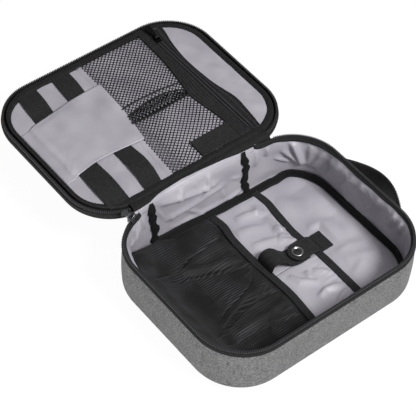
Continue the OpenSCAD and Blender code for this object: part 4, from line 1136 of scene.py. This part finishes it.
def fold_sheet(name, low, high, rows, lift, thickness):
    """A strip of cloth over the hinge's fold between two lines, bowed at its ends like the outline."""
    x = np.linspace(-HINGE_HALF - 1.4 * MM, HINGE_HALF + 1.4 * MM, 130)[None]
    t = np.linspace(0, 1, rows)[:, None]
    y = low(x) * (1 - t) + high(x) * t
    x = np.broadcast_to(x, y.shape)
    bow = HALF_D - half_depth(x, 0)
    side = np.clip((y - HINGE_Y) / (4 * MM), -1, 1)
    z = np.interp(y, FOLD[:, 0], FOLD[:, 1]) + lift * MM
    z = z + 0.35 * MM * ripple(x / (17 * MM), y / (6 * MM), 91)
    return cloth(name, np.dstack([x, y + bow * side, z]), thickness * MM)


def hem_y(x):
    """Y of the hinge's hem at a place along X."""
    return np.interp(x, HEM_LINE[:, 0], HEM_LINE[:, 1])


def hinge_cloth():
    """The wall's satin runs on over the hinge to a hem; black cloth goes on to the lid over a backing."""
    satin = fold_sheet("hinge_satin", lambda x: 0 * x + 99.7 * MM, lambda x: hem_y(x) + 0.8 * MM, 12,
                       0.0, 0.5)
    put(satin, None, SATIN, "satin_lining", "tray_hinge_cloth")
    black = fold_sheet("hinge_cover", hem_y, lambda x: 0 * x + 111.6 * MM, 12, 0.35, 0.6)
    put(black, None, TAPE, "black_webbing", "lid_hinge_cloth")
    behind = np.array([(101.0, 46.0), (101.0, 50.0), (101.1, 53.5), (101.5, 55.6), (102.1, 56.4),
                       (102.7, 55.6), (103.1, 53.5), (103.2, 52.0)]) * MM
    x = np.linspace(-HINGE_HALF - 2 * MM, HINGE_HALF + 2 * MM, 100)[None]
    y = np.repeat(behind[:, :1], x.shape[1], 1)
    bow = HALF_D - half_depth(x, 0)
    y = y + bow * np.clip((y - HINGE_Y) / (2.2 * MM), -1, 1)
    grid = np.dstack([np.broadcast_to(x, y.shape), y, np.repeat(behind[:, 1:], x.shape[1], 1)])
    back = cloth("hinge_backing", grid, 0.9 * MM, towards=-UP)
    put(back, None, TAPE, "black_webbing")
    for piece in (satin, black, back):
        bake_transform(piece)


hinge_cloth()


# Lid shell


def lid_panel():
    """Heather panel on the lid's outside, with the low crown of its padding."""
    edge = 6.0 * MM
    grid = field_grid(edge, 61, 51, LID_Y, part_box("lid_panel")[0].z)
    across, along = grid[..., 0] / (HALF_W - edge), (grid[..., 1] - LID_Y) / (HALF_D - edge)
    grid[..., 2] -= 1.6 * MM * (1 - across**4) * (1 - along**4)
    panel = cloth("lid_heather_panel", grid, 1.0 * MM, towards=-UP)
    put(panel, "lid", HEATHER, "heather_cloth", "lid_panel", "lid_foam")


def lid_edge():
    """Black side band of the lid, its zip tape, and the binding round its lining."""
    runs = np.linspace(0, ROUND, 300, endpoint=False)
    up = np.broadcast_to(UP, (len(runs), 3))
    path, out = outline(runs, 0.0, 0.0, LID_Y)
    outside = [(-6.6, 46.4), (-6.1, 45.9)]
    outside += [(-6 + 6 * math.sin(t), 52 - 6 * math.cos(t)) for t in np.radians(np.linspace(12, 90, 8))]
    outside += [(0.15, 53.2), (0.2, 54.4), (0.0, 55.3), (-0.5, 55.9), (-1.1, 55.9), (-1.4, 54.6), (-1.4, 52),
                (-4, 48.6)]
    band = strip("lid_side_cloth", path, out, up, np.array(outside) * MM, wrap=True)
    put(band, "lid", TAPE, "black_webbing", "lid_side_band")
    start = HINGE_RUN + 0.4 * MM
    rim = np.linspace(start, ROUND - start, int((ROUND - 2 * start) / (2.6 * MM)))
    rim_path, rim_out = outline(rim, 0.0, 0.0, LID_Y)
    rim_path[:, 1] = 2 * LID_Y - rim_path[:, 1]
    rim_out = rim_out * [1, -1, 1]
    rim_up = np.broadcast_to(UP, rim_out.shape)
    profile = np.array([(-0.9, 52.0), (-0.8, 55.4), (-0.85, 56.6), (-1.1, 57.5), (-1.4, 58.7), (-2.0, 58.7),
                        (-2.4, 57.4), (-2.6, 56.4), (-2.6, 55.0), (-2.6, 52.0)]) * MM
    tape = strip("lid_zip_band", rim_path, rim_out, rim_up, profile)
    put(tape, "lid", TAPE, "black_webbing", "lid_zip_tape")
    bind = [(-2.3, 54.6), (-4.2, 54.8), (-5.0, 55.6), (-5.2, 57.2), (-5.3, 58.4), (-5.9, 59.3), (-7.2, 59.9),
            (-9.2, 60.1), (-11.2, 59.8), (-12.8, 59.1), (-13.5, 58.4), (-13.3, 57.4), (-6, 54.0)]
    bind = np.repeat(np.array(bind)[None] * MM, len(runs), 0)
    near = (out[:, 1] < 0) * (1 - ease(np.abs(path[:, 0]), RUN_X, HINGE_HALF + 10 * MM))
    bind[:, 4:12, 1] += 1.5 * MM * near[:, None]
    bind[:, 8:12, 0] += (0.9 * MM * ripple(runs / (13 * MM), 0, 7))[:, None]
    slim = 0.44 * ease(-out[:, 0], 0.3, 1) + 0.2 * ease(out[:, 0], 0.3, 1)
    bind[:, 5:12, 0] += (-5.3 * MM - bind[:, 5:12, 0]) * slim[:, None]
    binding = strip("lid_binding_tape", path, out, up, bind, wrap=True)
    put(binding, "lid", TAPE, "black_webbing", "lid_binding", "lid_hinge_band")
    for inset, z in ((6.4, 59.75), (12.2, 59.5)):
        kept = (5.3 + (inset - 5.3) * (1 - slim)) * MM
        sew("lid", "black", outline(np.append(runs, 0), np.append(kept, kept[0]), z * MM, LID_Y)[0])
    sew("lid", "black", outline(np.append(runs, 0), -0.25 * MM, 54.2 * MM, LID_Y)[0])


def lid_y(b):
    """Y of a place on the open lid from its distance to the lid's hinge side."""
    return LID_Y - HALF_D + b * MM


def lid_satin():
    """Satin lining of the lid, with shallow creases, padded up under the net."""
    edge = 9.2 * MM
    grid = field_grid(edge, 130, 105, 0.0, top_of("lid_lining") - 0.4 * MM)
    x, y = grid[..., 0], grid[..., 1]
    folds = spread_folds(101, 30, (-105, -80), (-15, 80), 70, 30, (16, 40), (2.5, 5.0), (0.15, 0.5))
    inside = ease(half_depth(x, edge) - np.abs(y), 0, 8 * MM)
    padding = 1.2 * MM * ease(x, -14 * MM, -4 * MM) * (1 - ease(x, 52 * MM, 62 * MM))
    lift = np.minimum(fold_height(x, y, folds), 0.6 * MM) + padding
    grid[..., 2] += lift * inside
    lining = cloth("lid_satin", grid + [0, LID_Y, 0], 0.5 * MM)
    put(lining, "lid", SATIN, "satin_lining", "lid_lining")


def elastic_loop(name, node, bare, arch, width, line):
    """A flat elastic loop: both ends sewn down, one under the cover, and the bare part up a little."""
    low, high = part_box(node)
    y = np.linspace(min(low.y, bare[0]), high.y, 48)
    t = np.clip((y - bare[0]) / (bare[1] - bare[0]), 0, 1)
    line = np.array(line) * MM
    x = np.interp(y, line[:, 0], line[:, 1])
    z = (low.z + high.z) / 2 - 0.1 * MM + arch * MM * np.sin(math.pi * t) ** 1.5
    path = np.column_stack([x, y, z])
    along = heading(path)
    up = unit(np.cross([1.0, 0, 0], along))
    loop = strip(name, path, np.cross(along, up), up, webbing(width * MM, 1.1 * MM))
    put(loop, "lid", ELASTIC, "black_webbing", node)


# Edges of the cover, as X and Y, and of the net and its zip, as Y and X
COVER_FAR = np.array([(-111.7, 246.6), (-94.4, 249.8), (-71.6, 252.7), (-51.6, 256.2), (-29.2, 257.7),
                      (-10, 257.9)]) * MM
COVER_NEAR = np.array([(-111.7, 167.6), (-99.9, 169.6), (-76.3, 174.0), (-53.7, 173.2), (-21.7, 170.4),
                       (-10, 169.6)]) * MM
NET_LEFT = np.array([(117, -25), (141.5, -23.4), (170.5, -21.6), (213, -15.1), (255, -13.1),
                     (293, -12.7)]) * MM
NET_RIGHT = np.array([(121, 59.4), (143, 60.1), (170, 56.1), (193, 52.1), (208, 56.5), (247, 61.9),
                      (272, 62.6), (291, 63.3)]) * MM
TAPE_RIGHT = np.array([(113, 83.6), (137, 87), (162, 89.7), (176, 86.2), (194, 82.8), (218, 81.3),
                       (240, 81.3), (264, 84.8), (285, 90.6)]) * MM


def along_line(line, place):
    """A line's other coordinate at a place along it, with its bends rounded."""
    near = [np.interp(place + step * MM, line[:, 0], line[:, 1]) for step in (-8, -4, 0, 4, 8)]
    return sum(near) / len(near)


def cover():
    """Satin cover panel over the loops' ends and up to the net, drawn to its left corners."""
    low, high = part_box("cover_panel")
    columns, rows = 84, 74
    t = np.linspace(0, 1, rows)[:, None]
    s = np.linspace(0, 1, columns)[None]
    edge_x = along_line(NET_LEFT, 170 * MM + 88 * MM * t) + 1.5 * MM
    left = low.x - 3 * MM
    x = left + (edge_x - left) * s
    near, far = along_line(COVER_NEAR, x), along_line(COVER_FAR, x)
    y = near + (far - near) * t
    folds = [(8, 0.6, (-110, 232), (-60, 254)), (7, 0.5, (-108, 244), (-74, 250)),
             (10, 0.6, (-60, 190), (-24, 240)), (5, 0.5, (-110, 176), (-84, 206)),
             (4, 0.5, (-106, 172), (-92, 190))]
    sewn = ease(t, 0, 0.1) * (1 - ease(t, 0.9, 1)) * ease(s, 0, 0.12) * (1 - ease(s, 0.92, 1))
    soft = np.maximum(1.1 * MM * crumple(x, y, 27, 111), -0.4 * MM)
    lift = 0.7 * MM * np.sin(math.pi * t) * np.sin(math.pi * s) + fold_height(x, y, folds) + soft
    # On the left the panel goes into the lining without a seam that shows
    sunk = 2.6 * MM * (1 - ease(x, -107.5 * MM, -97 * MM))
    grid = np.dstack([x, y, high.z + 0.3 * MM + lift * sewn - sunk])
    panel = cloth("satin_cover", grid, 0.6 * MM)
    put(panel, "lid", SATIN, "satin_lining", "cover_panel")
    for row in (1, rows - 3):
        sew("lid", "lilac", grid[row, 12:-2:2] + [0, 1 * MM, 0.15 * MM])


NET_CELL = 3.2 * MM
NET_STRANDS = net_tree()


def net(name, node, low_line, high_line, lift, strand, bulge, seed):
    """Net of small square cells set on their corners, as a lattice of strands between two lines along X."""
    low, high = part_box(node)
    half = NET_CELL / math.sqrt(2)
    middle = np.mean([low_line[:, 1].mean(), high_line[:, 1].mean()])
    columns = int((along_line(NET_RIGHT, middle) - along_line(NET_LEFT, middle)) / half)
    rows = int((high_line[:, 1].mean() - low_line[:, 1].mean()) / half)
    u, v = np.meshgrid(np.linspace(0, 1, columns + 1), np.linspace(0, 1, rows + 1))
    x = low.x + (high.x - low.x) * u
    y = along_line(low_line, x) * (1 - v) + along_line(high_line, x) * v
    left, right = along_line(NET_LEFT, y), along_line(NET_RIGHT, y)
    x = left + (right - left) * u
    sway = 0.5 * MM * crumple(x, y, 30, seed + 9) * np.minimum(1, 6 * np.minimum(u, 1 - u))
    sag = bulge * np.sin(math.pi * u) * crumple(x, y, 50, seed) * np.minimum(1, 8 * np.minimum(v, 1 - v))
    vertices = np.dstack([x, y + sway, (low.z + high.z) / 2 + lift + sag]).reshape(-1, 3)
    edges = []
    for j in range(rows + 1):
        for i in range(columns + 1):
            if (i + j) % 2 == 0:
                continue
            for a, b in ((i + 1, j + 1), (i - 1, j + 1), (i + 1, j - 1), (i - 1, j - 1)):
                if 0 <= a <= columns and 0 <= b <= rows:
                    edges.append((j * (columns + 1) + i, b * (columns + 1) + a))
    made = grown(name, vertices, edges, NET_STRANDS, Strand=strand, Yarn=NET)
    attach(made, "lid")
    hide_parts(node)


# Lines of the net's folded band, as X and Y
FOLD_TOP = np.array([(-17, 214.6), (-11, 214.9), (4, 216.1), (20.6, 215.6), (36.5, 214.1), (52, 211.5),
                     (60, 210)]) * MM
FOLD_MIDDLE = np.array([(-17, 202.4), (-11, 203.8), (8, 208.2), (25, 208.9), (40, 206.2), (51, 201.5),
                        (60, 197)]) * MM
FOLD_LOW = np.array([(-17, 193.7), (0, 191), (19, 191.5), (37, 192), (52, 192.6)]) * MM


def lid_strip(name, left, right, low, high, columns, rows, height, thick, look, slot, node):
    """A thin piece on the lid between two edges that wave along Y."""
    y = np.linspace(low, high, rows)[:, None]
    s = np.linspace(0, 1, columns)[None]
    x = left(y) * (1 - s) + right(y) * s
    y = np.broadcast_to(y, x.shape)
    grid = np.dstack([x, y, np.broadcast_to(height(x, y, s), x.shape)])
    piece = cloth(name, grid, thick * MM)
    return put(piece, "lid", look, slot, node)


FIELD_NEAR, FIELD_FAR = lid_y(12.8), lid_y(187.2)  # ends of the lid's field


def net_left(y):
    """X of the net's left edge."""
    return along_line(NET_LEFT, y)


def net_right(y):
    """X of the net's right edge."""
    return along_line(NET_RIGHT, y)


def net_side():
    """The lid's net with the satin hem on its left and the folded band across it."""
    top = top_of("mesh_hem") - 0.7 * MM
    hem = lid_strip("satin_hem", lambda y: net_left(y) - 9 * MM, lambda y: net_left(y) + 2 * MM, FIELD_NEAR,
                    FIELD_FAR, 10, 60, lambda x, y, s: top - 1.7 * MM * (1 - ease(s, 0, 0.7)), 0.5, SATIN,
                    "satin_lining", "mesh_hem")
    ends = [np.array([(-30 * MM, y), (70 * MM, y)]) for y in (FIELD_NEAR, FIELD_FAR)]
    net("net_pocket", "mesh_pocket", *ends, 0.0, 0.36 * MM, 0.5 * MM, 1.5)
    net("net_fold", "mesh_pleat", FOLD_LOW, FOLD_MIDDLE, 0.5 * MM, 0.46 * MM, 0.6 * MM, 2.5)
    fold_z = top_of("mesh_pleat") + 0.3 * MM
    for name, line, width in (("low", FOLD_LOW, 2.4), ("middle", FOLD_MIDDLE, 1.6), ("top", FOLD_TOP, 1.3)):
        middle = line[:, 1].mean()
        x = np.linspace(net_left(middle), net_right(middle), 60)
        y = along_line(line, x) + 0.5 * MM * ripple(x / (14 * MM), 0, 131)
        path = np.column_stack([x, y, np.full(len(x), fold_z)])
        up = np.broadcast_to(UP, path.shape)
        piece = strip(f"net_fold_line_{name}", path, np.cross(up, heading(path)), up,
                      webbing(width * MM, 0.7 * MM, 14, 4.0))
        put(piece, "lid", NET, "black_knit")


def net_zip():
    """Two tapes of the net's zip, sunk where they carry the coils."""
    coil = middle_of("mesh_zip_coils").x
    top = top_of("mesh_zip_tape_left")
    tapes = {
        "left": (lambda y: net_right(y) - 0.6 * MM, lambda y: 0 * y + coil - 0.05 * MM),
        "right": (lambda y: 0 * y + coil + 0.05 * MM, lambda y: along_line(TAPE_RIGHT, y)),
    }

    def sunk(x, y, s):
        groove = 1.3 * MM * (1 - ease(np.abs(x - coil), 2.4 * MM, 4.4 * MM))
        return top + 0.2 * MM * crumple(x, y, 14, 141) - groove

    for side, edges in tapes.items():
        lid_strip(f"net_zip_tape_{side}", *edges, FIELD_NEAR, FIELD_FAR, 22, 90, sunk, 0.8, ZIP_TAPE,
                  "black_webbing", f"mesh_zip_tape_{side}")


def side_panel():
    """Satin panel right of the net's zip, with soft folds across it."""
    top = top_of("side_pocket_panel") - 0.7 * MM
    folds = [(8, 1.0, (88, 262), (104, 232)), (7, 0.9, (86, 226), (106, 196)),
             (8, 1.0, (92, 188), (106, 160)), (7, 0.9, (92, 154), (106, 132))]

    def field(y):
        past = np.maximum(np.abs(y - LID_Y) - RUN_Y, 0)
        return RUN_X + np.sqrt((CORNER - LID_FIELD) ** 2 - past**2)

    def height(x, y, s):
        loose = ease(s, 0.08, 0.25) * (1 - ease(s, 0.85, 1))
        return top + (fold_height(x, y, folds) + 0.7 * MM * crumple(x, y, 16, 151)) * loose

    panel = lid_strip("satin_side_panel", lambda y: along_line(TAPE_RIGHT, y) - 2.4 * MM, field,
                      FIELD_NEAR + 0.6 * MM, FIELD_FAR - 0.6 * MM, 30, 120, height, 0.6, SATIN,
                      "satin_lining", "side_pocket_panel")


def hinge_tab():
    """Elastic tab by the hinge, a little uneven, whose far edge stands up."""
    low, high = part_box("hinge_tab")
    t = np.linspace(0, 1, 20)[:, None]
    x = np.broadcast_to(np.linspace(low.x, high.x, 30), (20, 30))
    y = (LID_Y - half_depth(x, LID_FIELD)) * (1 - t) + lid_y(34.2) * t
    z = high.z + (0.25 * crumple(x, y, 14, 161) + 1.2 * t**3) * MM
    put(cloth("hinge_tab_elastic", np.dstack([x, y, z]), 1.2 * MM), "lid", ELASTIC, "black_webbing",
        "hinge_tab")


lid_panel()
lid_edge()
lid_satin()
FAR_BARE = (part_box("cover_panel")[1].y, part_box("loop_far_outer")[1].y)
NEAR_BARE = (lid_y(12.5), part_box("cover_panel")[0].y)
elastic_loop("far_loop_outer", "loop_far_outer", FAR_BARE, 1.6, 23, [(252, -82.5), (291, -78.7)])
elastic_loop("far_loop_inner", "loop_far_inner", FAR_BARE, 1.4, 21, [(258, -39.8), (295, -36.8)])
elastic_loop("near_loop_outer", "loop_near_outer", NEAR_BARE, 2.8, 23.5, [(119, -89), (171, -87.5)])
elastic_loop("near_loop_inner", "loop_near_inner", NEAR_BARE, 2.8, 20,
             [(119.5, -49), (134, -46.3), (151, -45.2), (171, -45.5)])
cover()
net_side()
net_zip()
side_panel()
hinge_tab()


# Hard pieces keep their solids and get their finishes


def finish_hard():
    """Nylon teeth, plated sliders and pulls, and the snap's lower half, with their edges broken."""
    looks = {
        NYLON: ("tray_zip_teeth", "lid_zip_teeth", "mesh_zip_coils"),
        GUNMETAL: ("left_slider", "left_pull"),
        BLACK_METAL: ("mesh_slider", "mesh_pull"),
        NICKEL: ("snap_stud", "snap_socket"),
    }
    for look, names in looks.items():
        for name in names:
            node = NODES[name]
            node.data.materials.clear()
            node.data.materials.append(look)
            if name != "mesh_zip_coils":
                soft = node.modifiers.new("broken_edges", "BEVEL")
                soft.width, soft.segments, soft.limit_method = 0.2 * MM, 2, "ANGLE"


STITCH = {"Pitch": 3.2 * MM, "Length": 1.15 * MM, "Radius": 0.26 * MM}


def stitch_all():
    """Every noted seam as thread stitches, one piece for each body and thread."""
    tree = stitch_tree()
    threads = {"black": (THREAD, "black_webbing"), "lilac": (PALE_THREAD, "satin_lining")}
    for (body, thread), lines in SEAMS.items():
        vertices, edges = [], []
        for line in lines:
            start = len(vertices)
            vertices += [tuple(p) for p in line]
            edges += [(start + i, start + i + 1) for i in range(len(line) - 1)]
        look, slot = threads[thread]
        made = grown(f"stitches_{body}_{thread}", vertices, edges, tree, Thread=look, **STITCH)
        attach(made, body)


finish_hard()
stitch_all()
